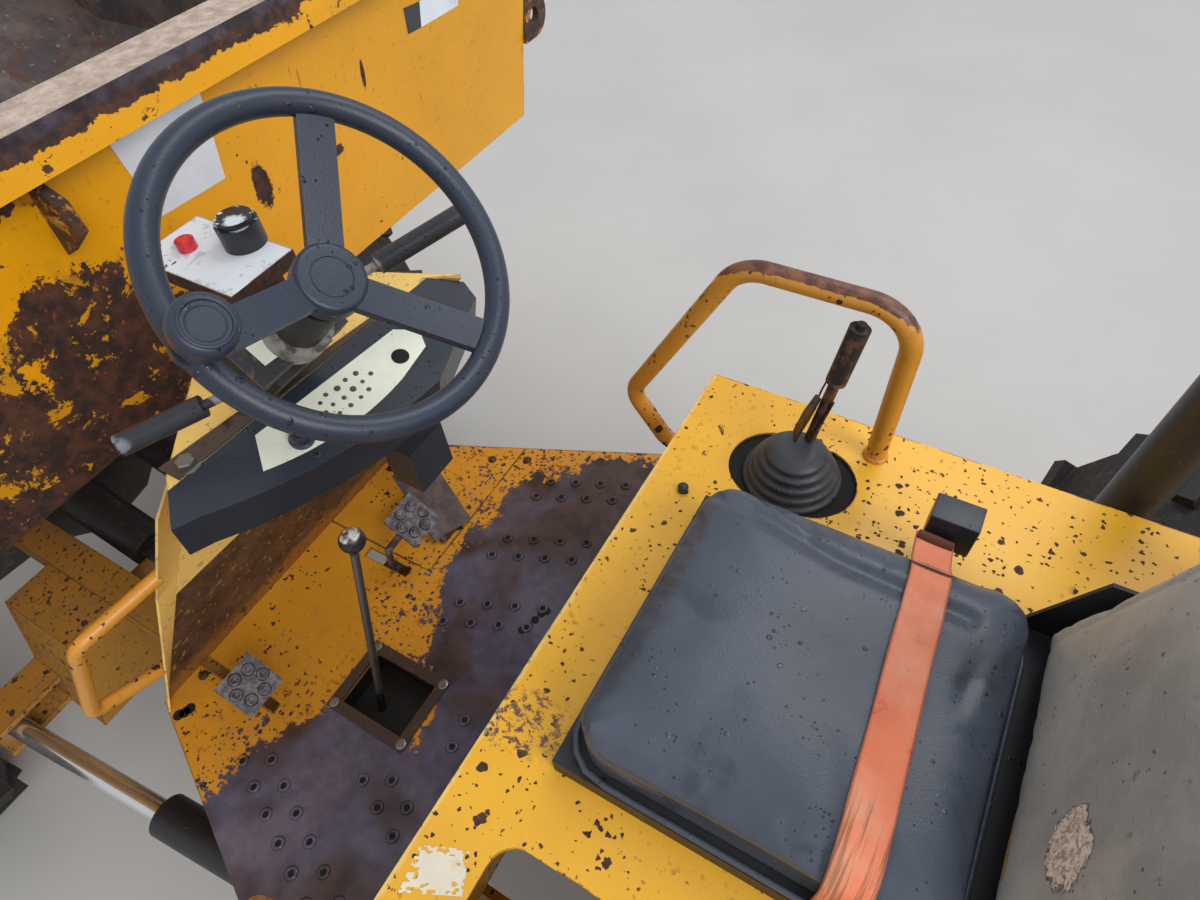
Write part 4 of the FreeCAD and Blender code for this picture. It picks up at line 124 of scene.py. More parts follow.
class Look:
    """One procedural material, built up in layers of colour, roughness and height."""

    def __init__(self, name, colour, rough):
        self.material = bpy.data.materials.new(name)
        self.material.use_nodes = True
        self.tree = self.material.node_tree
        self.shader = self.tree.nodes["Principled BSDF"]
        coordinates = self.make("ShaderNodeTexCoord")
        self.place = coordinates.outputs["Object"]
        self.outward = coordinates.outputs["Normal"]
        self.colour = colour
        self.rough = rough
        self.normal = None

    def make(self, kind, **settings):
        node = self.tree.nodes.new(kind)
        for key, value in settings.items():
            setattr(node, key, value)
        return node

    def feed(self, socket, value):
        """Links a socket to a value, or writes a plain value into it."""
        if isinstance(value, bpy.types.NodeSocket):
            self.tree.links.new(value, socket)
        elif isinstance(value, tuple) and len(value) == 3 and socket.type == "RGBA":
            socket.default_value = (*value, 1)
        else:
            socket.default_value = value

    def set(self, name, value):
        self.feed(self.shader.inputs[name], value)

    def stretched(self, scale, turn=(0, 0, 0)):
        mapping = self.make("ShaderNodeMapping")
        self.feed(mapping.inputs["Vector"], self.place)
        mapping.inputs["Rotation"].default_value = turn
        mapping.inputs["Scale"].default_value = scale
        return mapping.outputs["Vector"]

    def warped(self, scale, amount):
        """The place, pushed about by a noise, so that round marks get ragged outlines."""
        noise = self.make("ShaderNodeTexNoise")
        self.feed(noise.inputs["Vector"], self.place)
        noise.inputs["Scale"].default_value = scale
        noise.inputs["Detail"].default_value = 4.0
        push = self.make("ShaderNodeVectorMath", operation="MULTIPLY_ADD")
        self.feed(push.inputs[0], noise.outputs["Color"])
        push.inputs[1].default_value = (amount, amount, amount)
        self.feed(push.inputs[2], self.place)
        return push.outputs["Vector"]

    def noise(self, scale, detail=3.0, rough=0.55, bend=0.0, at=None):
        node = self.make("ShaderNodeTexNoise")
        self.feed(node.inputs["Vector"], self.place if at is None else at)
        node.inputs["Scale"].default_value = scale
        node.inputs["Detail"].default_value = detail
        node.inputs["Roughness"].default_value = rough
        node.inputs["Distortion"].default_value = bend
        return node.outputs["Fac"]

    def cells(self, scale, at=None):
        node = self.make("ShaderNodeTexVoronoi")
        self.feed(node.inputs["Vector"], self.place if at is None else at)
        node.inputs["Scale"].default_value = scale
        return node.outputs["Distance"]

    def spots(self, scale, size, share, at=None, soft=0.06):
        """Spots of random size, 1 inside and 0 outside; share is the part of the cells that has one."""
        cell = self.make("ShaderNodeTexVoronoi")
        self.feed(cell.inputs["Vector"], self.place if at is None else at)
        cell.inputs["Scale"].default_value = scale
        split = self.make("ShaderNodeSeparateColor")
        self.feed(split.inputs["Color"], cell.outputs["Color"])
        radius = self.sum("MULTIPLY", self.sum("POWER", split.outputs["Red"], 1.8), size)
        picked = self.sum("LESS_THAN", split.outputs["Green"], share)
        reach = self.times(radius, picked)
        return self.band(self.sum("SUBTRACT", reach, cell.outputs["Distance"]), 0.0, soft)

    def band(self, value, low, high, to_low=0.0, to_high=1.0):
        """Maps low..high smoothly onto to_low..to_high, held at both ends."""
        node = self.make("ShaderNodeMapRange", interpolation_type="SMOOTHSTEP")
        self.feed(node.inputs["Value"], value)
        node.inputs["From Min"].default_value = min(low, high)
        node.inputs["From Max"].default_value = max(low, high)
        ends = (to_low, to_high) if low < high else (to_high, to_low)
        node.inputs["To Min"].default_value = ends[0]
        node.inputs["To Max"].default_value = ends[1]
        return node.outputs["Result"]

    def sum(self, operation, first, second=None):
        node = self.make("ShaderNodeMath", operation=operation)
        self.feed(node.inputs[0], first)
        if second is not None:
            self.feed(node.inputs[1], second)
        return node.outputs["Value"]

    def both(self, *masks):
        total = masks[0]
        for mask in masks[1:]:
            total = self.sum("MAXIMUM", total, mask)
        return total

    def times(self, *masks):
        total = masks[0]
        for mask in masks[1:]:
            total = self.sum("MULTIPLY", total, mask)
        return total

    def inverse(self, mask):
        return self.sum("SUBTRACT", 1.0, mask)

    def wander(self, value, *waves):
        """A value moved up and down by noises, each given as (scale, amount)."""
        for scale, amount in waves:
            node = self.make("ShaderNodeMath", operation="MULTIPLY_ADD")
            self.feed(node.inputs[0], self.sum("SUBTRACT", self.noise(scale, 4.0, 0.65), 0.5))
            node.inputs[1].default_value = 2 * amount
            self.feed(node.inputs[2], value)
            value = node.outputs["Value"]
        return value

    def mix(self, share, first, second):
        node = self.make("ShaderNodeMix", data_type="RGBA")
        self.feed(node.inputs["Factor"], share)
        self.feed(node.inputs[6], first)
        self.feed(node.inputs[7], second)
        return node.outputs[2]

    def blend(self, share, first, second):
        node = self.make("ShaderNodeMix", data_type="FLOAT")
        self.feed(node.inputs["Factor"], share)
        self.feed(node.inputs[2], first)
        self.feed(node.inputs[3], second)
        return node.outputs[0]

    def axis(self, name):
        node = self.make("ShaderNodeSeparateXYZ")
        self.feed(node.inputs["Vector"], self.place)
        return node.outputs[name]

    def facing(self, name):
        """How far the surface's own normal points along one axis, -1 to 1."""
        node = self.make("ShaderNodeSeparateXYZ")
        self.feed(node.inputs["Vector"], self.outward)
        return node.outputs[name]

    def inside(self, centre):
        """1 on faces that look towards a point, 0 on faces that look away from it."""
        away = self.make("ShaderNodeVectorMath", operation="SUBTRACT")
        away.inputs[0].default_value = centre
        self.feed(away.inputs[1], self.place)
        dot = self.make("ShaderNodeVectorMath", operation="DOT_PRODUCT")
        self.feed(dot.inputs[0], away.outputs["Vector"])
        self.feed(dot.inputs[1], self.outward)
        return self.band(dot.outputs["Value"], 0.02, 0.05)

    def edges(self, radius=0.004, low=0.995, high=0.93):
        """Edges of the mesh, where paint wears first."""
        bevel = self.make("ShaderNodeBevel", samples=4)
        bevel.inputs["Radius"].default_value = radius
        geometry = self.make("ShaderNodeNewGeometry")
        dot = self.make("ShaderNodeVectorMath", operation="DOT_PRODUCT")
        self.feed(dot.inputs[0], bevel.outputs["Normal"])
        self.feed(dot.inputs[1], geometry.outputs["Normal"])
        return self.band(dot.outputs["Value"], low, high)

    def patch(self, centre, half, soft=0.35, ragged=0.35, scale=22.0):
        """A ragged ellipsoid mask, 1 inside, with its place and half sizes in the machine's frame."""
        mapping = self.make("ShaderNodeMapping")
        self.feed(mapping.inputs["Vector"], self.place)
        mapping.inputs["Location"].default_value = tuple(-place / size for place, size in zip(centre, half))
        mapping.inputs["Scale"].default_value = tuple(1.0 / size for size in half)
        length = self.make("ShaderNodeVectorMath", operation="LENGTH")
        self.feed(length.inputs[0], mapping.outputs["Vector"])
        waves = ((scale, ragged), (scale * 3.5, ragged * 0.5), (scale * 9.0, ragged * 0.3))
        rough_edge = self.wander(length.outputs["Value"], *waves)
        return self.band(rough_edge, 1 + soft, 1 - soft)

    def over(self, mask, colour, rough=None):
        """One more layer, where its mask is 1."""
        self.colour = self.mix(mask, self.colour, colour)
        if rough is not None:
            self.rough = self.blend(mask, self.rough, rough)

    def relief(self, height, distance, strength=1.0):
        node = self.make("ShaderNodeBump")
        node.inputs["Strength"].default_value = strength
        node.inputs["Distance"].default_value = distance
        self.feed(node.inputs["Height"], height)
        if self.normal is not None:
            self.feed(node.inputs["Normal"], self.normal)
        self.normal = node.outputs["Normal"]

    def rust_tone(self):
        deep = self.mix(self.band(self.noise(28.0, 5.0, 0.7), 0.38, 0.64), RUST_DARK, RUST_BROWN)
        return self.mix(self.band(self.noise(75.0, 4.0, 0.7), 0.60, 0.74), deep, RUST_ORANGE)

    def rusted(self, bare, stain=0.45):
        """Bare rust where a mask is 1, in a stained border of the paint around it."""
        self.over(self.band(bare, 0.02, 0.45, 0.0, stain), RUST_ORANGE)
        self.over(self.band(bare, 0.40, 0.56), self.rust_tone(), 0.7)
        self.relief(self.sum("SUBTRACT", 1.0, bare), 0.0008, 0.5)

    def rain(self, scale, share, size=0.42):
        """Water drops that stand on the surface and darken it a little."""
        gate = self.band(self.noise(scale * 0.09, 3.0), 0.45, 0.56)
        drop = self.times(self.spots(scale, size, share, None, 0.16), gate)
        self.over(drop, self.mix(0.5, self.colour, (0.01, 0.011, 0.013)), 0.05)
        self.relief(drop, 0.0016, 0.9)

    def done(self):
        self.set("Base Color", self.colour)
        self.set("Roughness", self.rough)
        if self.normal is not None:
            self.set("Normal", self.normal)
        return self.material


RUST_DARK = tone(44, 32, 30)
RUST_BROWN = tone(84, 52, 38)
RUST_ORANGE = tone(150, 84, 34)
DRIED_MUD = tone(206, 186, 170)
YARD_DIRT = tone(120, 98, 74)


def painted(name, paint, specks=0.5, chips=0.3, dirt=0.2, patches=(), shine=0.4, wear=0.6, finish=None):
    """Old paint: uneven colour, dirt, scratches, rust specks, chips, worn edges and bare patches."""
    look = Look(name, paint, shine)
    broad = look.noise(2.1, 4.0, 0.6)
    look.over(look.band(broad, 0.42, 0.75, 0.0, 0.55), tuple(min(1.0, part * 1.14 + 0.012) for part in paint))
    look.over(look.band(broad, 0.50, 0.25, 0.0, 0.6), tuple(part * 0.82 for part in paint))
    film = look.times(look.band(look.noise(8.0, 6.0, 0.72), 0.46, 0.80), dirt)
    look.over(film, YARD_DIRT, 0.6)
    scratch = look.noise(1.0, 3.0, 0.6, 0.3, look.stretched((70.0, 70.0, 5.0), (0.25, 0.1, 0.0)))
    look.over(look.band(scratch, 0.70, 0.76, 0.0, 0.55), tuple(part * 0.5 for part in paint))
    ragged = look.warped(120.0, 0.012)
    crowd = look.band(look.noise(4.5, 4.0, 0.6), 0.62 - 0.30 * specks, 0.80 - 0.30 * specks)
    small = look.spots(150.0, 0.62, 0.35 * specks + 0.08, ragged)
    middle = look.times(look.spots(55.0, 0.50, 0.34 * specks + 0.05, ragged), crowd)
    flakes = look.times(
        look.band(look.noise(21.0, 6.0, 0.72, 0.6), 0.70 - 0.12 * chips, 0.72 - 0.12 * chips),
        look.band(broad, 0.44, 0.54),
    )
    worn = look.times(look.edges(), look.band(look.noise(17.0, 5.0, 0.7), 0.66 - 0.3 * wear, 0.72 - 0.3 * wear))
    bare = look.both(look.times(small, look.band(crowd, 0.0, 1.0, 0.25, 1.0)), middle, flakes, worn)
    if patches:
        bare = look.both(bare, *[look.patch(*spot) for spot in patches])
    look.rusted(bare)
    look.relief(look.noise(55.0, 5.0, 0.6), 0.0009, 0.25)
    if finish is not None:
        finish(look)
    return look.done()


def moulded(name, colour, grain=900.0, rough=0.42, wear=0.3, wet=0.3, depth=0.0003, dust=None, finish=None):
    """Moulded plastic, rubber or vinyl with a fine grain, pale scuffs and rain drops."""
    look = Look(name, colour, rough)
    dusty = tuple(part * 1.9 + 0.014 for part in colour) if dust is None else dust
    look.over(look.band(look.noise(5.0, 4.0, 0.6), 0.35, 0.75, 0.0, 0.7), tuple(part * 1.45 for part in colour))
    scuff = look.band(look.noise(34.0, 6.0, 0.75, 0.5), 0.54, 0.76, 0.0, wear)
    look.over(scuff, dusty, rough + 0.15)
    line = look.noise(1.0, 2.0, 0.5, 0.4, look.stretched((14.0, 90.0, 60.0), (0.5, 0.3, 0.8)))
    look.over(look.band(line, 0.70, 0.78, 0.0, wear), dusty, rough + 0.1)
    look.over(look.times(look.edges(0.003), look.band(look.noise(22.0), 0.4, 0.6), wear), dusty)
    look.relief(look.cells(grain), depth, 0.4)
    if finish is not None:
        finish(look)
    if wet:
        look.rain(85.0, wet)
        look.rain(190.0, wet * 0.8)
    return look.done()


def metal(name, colour, rough=0.35, rust=0.3, brushed=0.0, finish=None):
    """Bare or greased steel with its rust bloom and fine wear."""
    look = Look(name, colour, rough)
    streaks = look.noise(60.0, 4.0, 0.6, 0.0, look.stretched((1.0, 1.0 + 12 * brushed, 1.0)))
    look.rough = look.band(streaks, 0.2, 0.8, rough * 0.75, rough * 1.4)
    bloom = look.band(look.noise(30.0, 6.0, 0.7), 0.70 - 0.30 * rust, 0.80 - 0.30 * rust)
    look.over(bloom, look.rust_tone(), 0.75)
    shine = look.band(bloom, 0.2, 0.8, 0.9, 0.0)
    look.relief(look.noise(210.0, 4.0), 0.0004, 0.25)
    if finish is not None:
        shine = finish(look, shine) or shine
    look.set("Metallic", shine)
    return look.done()


# ---------------------------------------------------------------- the finish of each kind of piece

SKIP_PAINT = tone(236, 166, 10)
CAB_PAINT = tone(244, 182, 48)
FLOOR_PAINT = tone(214, 146, 30)
# Bluish violet for wet floor steel: a painted sky reflection.
WET_PLATE_SKY_SHEEN = tone(108, 108, 132)
SKIP_TOP = 1.900
BELT_MIDDLE = (-0.9135, -0.0425)
BELT_WIDE = 0.052
BELT_SKEW = -0.060
WALL_PATCHES = (
    # centre, half sizes, softness, raggedness and its scale: bare rust on the skip's rear wall
    ((0.30, 0.01, 1.55), (0.30, 0.13, 0.18), 0.08, 0.60, 11.0),
    ((0.34, 0.13, 1.40), (0.30, 0.18, 0.22), 0.08, 0.60, 10.0),
    ((0.40, 0.30, 1.42), (0.30, 0.24, 0.14), 0.08, 0.65, 10.0),
    ((0.30, 0.06, 1.70), (0.20, 0.08, 0.06), 0.10, 0.80, 20.0),
    ((0.30, 0.20, 1.62), (0.20, 0.05, 0.10), 0.10, 0.80, 18.0),
    ((0.45, 0.10, 1.20), (0.45, 0.50, 0.10), 0.10, 0.90, 12.0),
    ((0.31, -0.333, 1.693), (0.10, 0.018, 0.042), 0.25, 0.60, 50.0),
    ((0.31, -0.620, 1.762), (0.10, 0.005, 0.028), 0.20, 0.35, 60.0),
    ((0.30, -0.52, 1.66), (0.10, 0.014, 0.012), 0.25, 0.60, 60.0),
    ((0.30, -0.30, 1.835), (0.10, 0.010, 0.022), 0.25, 0.50, 60.0),
)
DARK_FLOOR = (
    # centre and half sizes of where boots have worn the floor's paint away
    ((-0.33, -0.23, 0.95), (0.315, 0.38, 0.2)),
    ((-0.18, 0.42, 0.95), (0.25, 0.23, 0.2)),
    ((-0.35, 0.14, 0.95), (0.15, 0.20, 0.2)),
    ((0.20, -0.52, 0.95), (0.10, 0.10, 0.2)),
)


def skip_finish(look):
    """Rust that hangs from the skip's rim, its scratched wall, and the bare steel inside."""
    height = look.wander(look.axis("Z"), (6.0, 0.030), (26.0, 0.024), (90.0, 0.010))
    fringe = look.band(height, SKIP_TOP - 0.030, SKIP_TOP - 0.024)
    look.rusted(look.times(fringe, look.band(look.wander(look.axis("Y"), (7.0, 0.20)), -0.05, 0.05)))
    rusty_part = look.patch((0.33, 0.12, 1.44), (0.30, 0.40, 0.34), 0.30, 0.30, 8.0)
    islands = look.times(rusty_part, look.band(look.noise(16.0, 8.0, 0.76, 0.4), 0.575, 0.590))
    look.over(islands, look.mix(look.noise(30.0, 4.0), tone(196, 132, 14), tone(226, 166, 24)), 0.45)
    slanted = look.stretched((1.0, 240.0, 14.0), (0.0, 0.0, 0.0))
    lines = look.times(
        look.band(look.noise(1.0, 2.0, 0.5, 0.2, slanted), 0.72, 0.75), look.band(look.noise(3.0), 0.50, 0.62)
    )
    look.over(look.times(lines, 0.7), RUST_BROWN, 0.6)
    inner = look.inside((1.30, 0.0, 1.86))
    look.over(inner, look.mix(look.band(look.noise(5.0, 5.0, 0.7), 0.35, 0.65), tone(64, 56, 58), tone(104, 88, 80)), 0.6)
    crust = look.times(inner, look.band(look.noise(11.0, 6.0, 0.75), 0.52, 0.60))
    look.over(crust, tone(82, 54, 42), 0.75)
    scrape = look.times(inner, look.band(look.noise(1.0, 2.0, 0.5, 0.3, look.stretched((6.0, 60.0, 60.0))), 0.66, 0.74))
    look.over(scrape, tone(128, 118, 112), 0.35)


def rim_finish(look):
    """The skip's rim: dried mud on top, a dark worn edge, and ragged rust over the paint of its faces."""
    upward = look.facing("Z")
    ragged = look.wander(upward, (24.0, 0.10), (80.0, 0.08))
    height = look.wander(look.axis("Z"), (7.0, 0.020), (26.0, 0.016), (90.0, 0.009))
    look.rusted(look.band(height, 1.928, 1.933))
    look.rusted(look.band(look.noise(16.0, 6.0, 0.72, 0.4), 0.57, 0.60))
    dark = look.mix(look.band(look.noise(30.0, 4.0), 0.35, 0.65), tone(46, 38, 44), tone(80, 72, 82))
    edge = look.band(look.wander(look.axis("Z"), (12.0, 0.005), (50.0, 0.003)), 1.945, 1.953)
    look.over(edge, dark, 0.33)
    mud = look.mix(look.band(look.noise(40.0, 6.0, 0.7), 0.35, 0.70), tone(168, 146, 130), DRIED_MUD)
    top = look.times(look.band(ragged, 0.72, 0.86), look.band(look.noise(16.0, 6.0, 0.72), 0.22, 0.34))
    look.over(top, mud, 0.85)
    look.relief(look.times(top, look.noise(60.0, 5.0, 0.7)), 0.006, 0.7)
    look.over(look.inside((1.30, 0.0, 1.80)), dark, 0.6)


def lug_finish(look):
    """Lifting lugs and hinge ears, rusted over most of their faces."""
    bare = look.band(look.noise(22.0, 6.0, 0.72, 0.3), 0.40, 0.47)
    look.over(bare, look.rust_tone(), 0.6)


def floor_finish(look):
    """Floor paint that boots have worn to dark wet steel, but for the front and left, the wet steel painted bluish with
    a sky reflection.
    """
    worn = look.both(*[look.patch(centre, half, 0.05, 0.34, 6.5) for centre, half in DARK_FLOOR])
    crumbs = look.spots(120.0, 0.75, 0.75, look.warped(90.0, 0.014))
    halo = look.both(*[look.patch(centre, tuple(1.30 * size for size in half), 0.30, 0.30, 14.0)
                       for centre, half in DARK_FLOOR])
    bare = look.both(worn, look.times(crumbs, halo))
    look.rusted(bare, 0.7)
    deep = look.band(bare, 0.45, 0.60)
    brown = look.mix(look.band(look.noise(14.0, 5.0, 0.7), 0.35, 0.68), tone(46, 33, 33), tone(82, 60, 56))
    look.over(deep, brown, 0.46)
    wet = look.band(look.noise(3.4, 3.0, 0.5, 0.4), 0.44, 0.60)
    # Painted reflection: the wet parts of the bare floor are painted bluish violet for the sky mirrored in them; only
    # their low roughness is real wetness.
    look.over(look.times(deep, wet), look.mix(look.noise(50.0), tone(64, 60, 78), WET_PLATE_SKY_SHEEN), 0.13)
    traces = look.times(deep, look.band(look.noise(60.0, 5.0, 0.75), 0.64, 0.70))
    look.over(look.times(traces, 0.5), tone(126, 86, 50), 0.6)


def rail_finish(look):
    """Hoop rails with their paint worn brown where hands hold them."""
    top = look.wander(look.facing("Z"), (9.0, 0.30), (34.0, 0.35))
    high = look.band(look.axis("Z"), 1.45, 1.60)
    worn = look.times(look.band(top, 0.42, 0.60), high)
    tip = look.band(look.wander(look.axis("Y"), (30.0, 0.03)), 0.40, 0.43)
    worn = look.both(worn, look.times(tip, look.band(look.axis("X"), -0.36, -0.40), look.band(look.axis("Z"), 1.5, 1.55)))
    look.over(look.band(worn, 0.1, 0.9), look.mix(look.band(look.noise(40.0, 4.0), 0.4, 0.6), tone(86, 52, 44), tone(132, 84, 56)), 0.42)


def plinth_finish(look):
    """Bare spots and boot marks along the plinth's front edge, and a painted highlight along the pale bend of its
    sheet.
    """
    # Painted highlight: a pale cream line along the front bend of the plinth's sheet.
    edge = look.band(look.wander(look.axis("X"), (20.0, 0.01)), -0.462, -0.455)
    look.over(look.times(edge, 0.5), tone(250, 224, 150), 0.4)
    rubbed = look.patch((-0.495, 0.158, 1.36), (0.062, 0.042, 0.05), 0.3, 0.6, 26.0)
    broken = look.band(look.noise(64.0, 6.0, 0.78, 0.4), 0.50, 0.55)
    look.over(look.times(rubbed, broken), look.mix(look.noise(90.0), tone(74, 50, 62), tone(132, 96, 72)), 0.4)


def bracket_finish(look):
    """White paint on the bracket's top, and rusty sides."""
    side = look.band(look.wander(look.facing("Z"), (40.0, 0.25)), 0.70, 0.45)
    look.rusted(side, 0.8)
    smear = look.band(look.noise(30.0, 5.0, 0.7, 0.6), 0.56, 0.66)
    look.over(look.times(smear, 0.6, look.inverse(side)), tone(160, 164, 172), 0.5)


def button_finish(look):
    """The red lens beside the black cap, which has white paint on it."""
    red = look.band(look.axis("X"), 0.098, 0.102)
    look.over(red, look.mix(look.band(look.noise(60.0), 0.4, 0.7), tone(196, 24, 40), tone(224, 70, 76)), 0.25)
    splash = look.both(
        look.band(look.noise(38.0, 5.0, 0.7, 0.8), 0.56, 0.60), look.patch((0.045, -0.100, 1.84), (0.016, 0.012, 0.02), 0.3, 0.5, 60.0)
    )
    top = look.band(look.facing("Z"), 0.5, 0.8)
    look.over(look.times(splash, top, look.inverse(red)), tone(218, 226, 230), 0.4)


def stalk_finish(look):
    """Bright steel rods with black grips at both ends of the stalks."""
    near = look.band(look.axis("Y"), 0.105, 0.108)
    far = look.band(look.axis("Y"), -0.152, -0.155)
    rod = look.inverse(look.both(near, far))
    steel = look.mix(look.band(look.noise(60.0, 4.0), 0.45, 0.65), tone(140, 136, 132), tone(80, 66, 58))
    look.over(rod, steel, 0.35)
    ends = look.both(look.band(look.axis("Y"), 0.19, 0.20), look.band(look.axis("Y"), -0.262, -0.268))
    look.over(look.times(ends, look.band(look.noise(70.0), 0.45, 0.6)), tone(120, 126, 134), 0.4)


def lever_finish(look, shine):
    """Gear lever with its pale worn top, the handbrake's worn rubber grip, and painted shade, near black, in the
    lever's opening below the floor.
    """
    knob = look.times(look.band(look.axis("Z"), 1.262, 1.268), look.band(look.axis("X"), -0.30, -0.25))
    black = look.mix(look.band(look.noise(60.0, 4.0), 0.5, 0.7), tone(34, 34, 38), tone(64, 64, 68))
    look.over(knob, black, 0.4)
    top = look.times(knob, look.band(look.facing("Z"), 0.60, 0.72))
    look.over(top, look.mix(look.band(look.noise(90.0, 4.0), 0.40, 0.55), tone(84, 84, 84), tone(220, 220, 214)), 0.35)
    brake = look.band(look.axis("X"), -0.45, -0.5)
    rust = look.mix(look.band(look.noise(50.0, 5.0), 0.4, 0.6), tone(66, 44, 36), tone(120, 84, 60))
    look.over(brake, rust, 0.6)
    grip = look.times(brake, look.band(look.axis("Z"), 1.545, 1.55))
    worn = look.mix(look.band(look.noise(44.0, 5.0, 0.7), 0.48, 0.60), tone(40, 34, 34), tone(98, 64, 54))
    look.over(grip, worn, 0.5)
    pedal = look.times(look.band(look.axis("X"), -0.012, -0.008), look.band(look.axis("Z"), 1.2, 1.15))
    grey = look.mix(look.band(look.noise(60.0, 5.0, 0.7), 0.42, 0.62), tone(58, 54, 60), tone(110, 104, 108))
    look.over(pedal, grey, 0.38)
    tread = look.times(pedal, look.band(look.axis("Y"), -0.19, -0.20))
    look.over(tread, look.mix(look.band(look.noise(30.0, 5.0, 0.7), 0.4, 0.6), tone(50, 36, 34), tone(86, 64, 60)), 0.4)
    # Painted shade: whatever lies below the floor in the gear lever's opening is painted near black.
    painted_shade_well = look.band(look.axis("Z"), 0.948, 0.944)
    for name, low, high in (("X", -0.200, 0.004), ("Y", -0.020, 0.230)):
        along = look.axis(name)
        painted_shade_well = look.times(painted_shade_well, look.band(along, low, low + 0.004), look.band(along, high + 0.004, high))
    look.over(painted_shade_well, tone(12, 11, 11), 0.7)
    return look.times(shine, look.inverse(look.both(knob, brake, pedal, painted_shade_well)), 1.0)


def webbing_finish(look):
    """Belt webbing: fine ribs along it, faded and dirty bands, and the stitching near its buckle."""
    ribs = look.noise(1.0, 1.0, 0.5, 0.0, look.stretched((900.0, 14.0, 14.0)))
    weave = look.cells(1.0, look.stretched((520.0, 900.0, 520.0)))
    fade = look.band(look.noise(9.0, 5.0, 0.6), 0.35, 0.68)
    look.over(look.times(fade, 0.8), tone(250, 180, 146), 0.85)
    look.over(look.band(look.noise(26.0, 5.0, 0.75), 0.58, 0.74, 0.0, 0.6), tone(160, 76, 50), 0.8)
    streaks = look.noise(1.0, 4.0, 0.6, 0.0, look.stretched((160.0, 5.0, 5.0)))
    stained = look.times(look.band(streaks, 0.50, 0.62), look.band(look.wander(look.axis("Y"), (9.0, 0.05)), 0.05, 0.12))
    look.over(look.times(stained, 0.7), tone(132, 96, 62), 0.85)
    away = look.sum("MULTIPLY", look.sum("SUBTRACT", look.axis("Y"), BELT_MIDDLE[1]), -BELT_SKEW)
    aside = look.sum("ABSOLUTE", look.sum("SUBTRACT", look.sum("ADD", look.axis("X"), away), BELT_MIDDLE[0]))
    border = look.band(aside, BELT_WIDE / 2 - 0.003, BELT_WIDE / 2 - 0.001)
    look.over(look.times(border, 0.5), tone(120, 60, 46), 0.8)
    look.relief(look.sum("ADD", weave, ribs), 0.0007, 0.7)
    seam = look.times(look.band(look.axis("Y"), -0.232, -0.234), look.band(look.axis("Y"), -0.240, -0.238))
    look.over(seam, tone(96, 40, 40), 0.8)


def seat_finish(look):
    """Wet leather-grained vinyl, with a soft sheen and darker damp patches."""
    damp = look.band(look.noise(6.0, 5.0, 0.65, 0.5), 0.56, 0.64)
    look.over(look.times(damp, 0.45), tone(48, 52, 61), 0.22)
    look.relief(look.noise(14.0, 3.0, 0.5), 0.004, 0.25)


def backrest_finish(look):
    """Coarse worn vinyl, torn open over pale cloth and orange foam near its lower left corner."""
    worn = look.band(look.noise(5.0, 6.0, 0.7), 0.40, 0.62)
    look.over(look.times(worn, 0.6), tone(176, 173, 166), 0.5)
    look.over(look.band(look.noise(48.0, 5.0, 0.75), 0.62, 0.70, 0.0, 0.6), tone(96, 96, 98), 0.35)
    look.relief(look.noise(1.0, 4.0, 0.6, 0.8, look.stretched((60.0, 22.0, 60.0), (0.4, 0.0, 0.0))), 0.0012, 0.5)
    for (centre, half, first, second) in TORN_PATCHES:
        torn = look.patch(centre, half, 0.06, 0.55, 26.0)
        look.over(look.band(torn, 0.05, 0.5), tone(48, 40, 38), 0.6)
        fibre = look.band(look.noise(120.0, 6.0, 0.8, 1.2), 0.42, 0.58)
        look.over(look.band(torn, 0.5, 0.7), look.mix(fibre, first, second), 0.9)
        look.relief(look.inverse(torn), 0.003, 0.8)


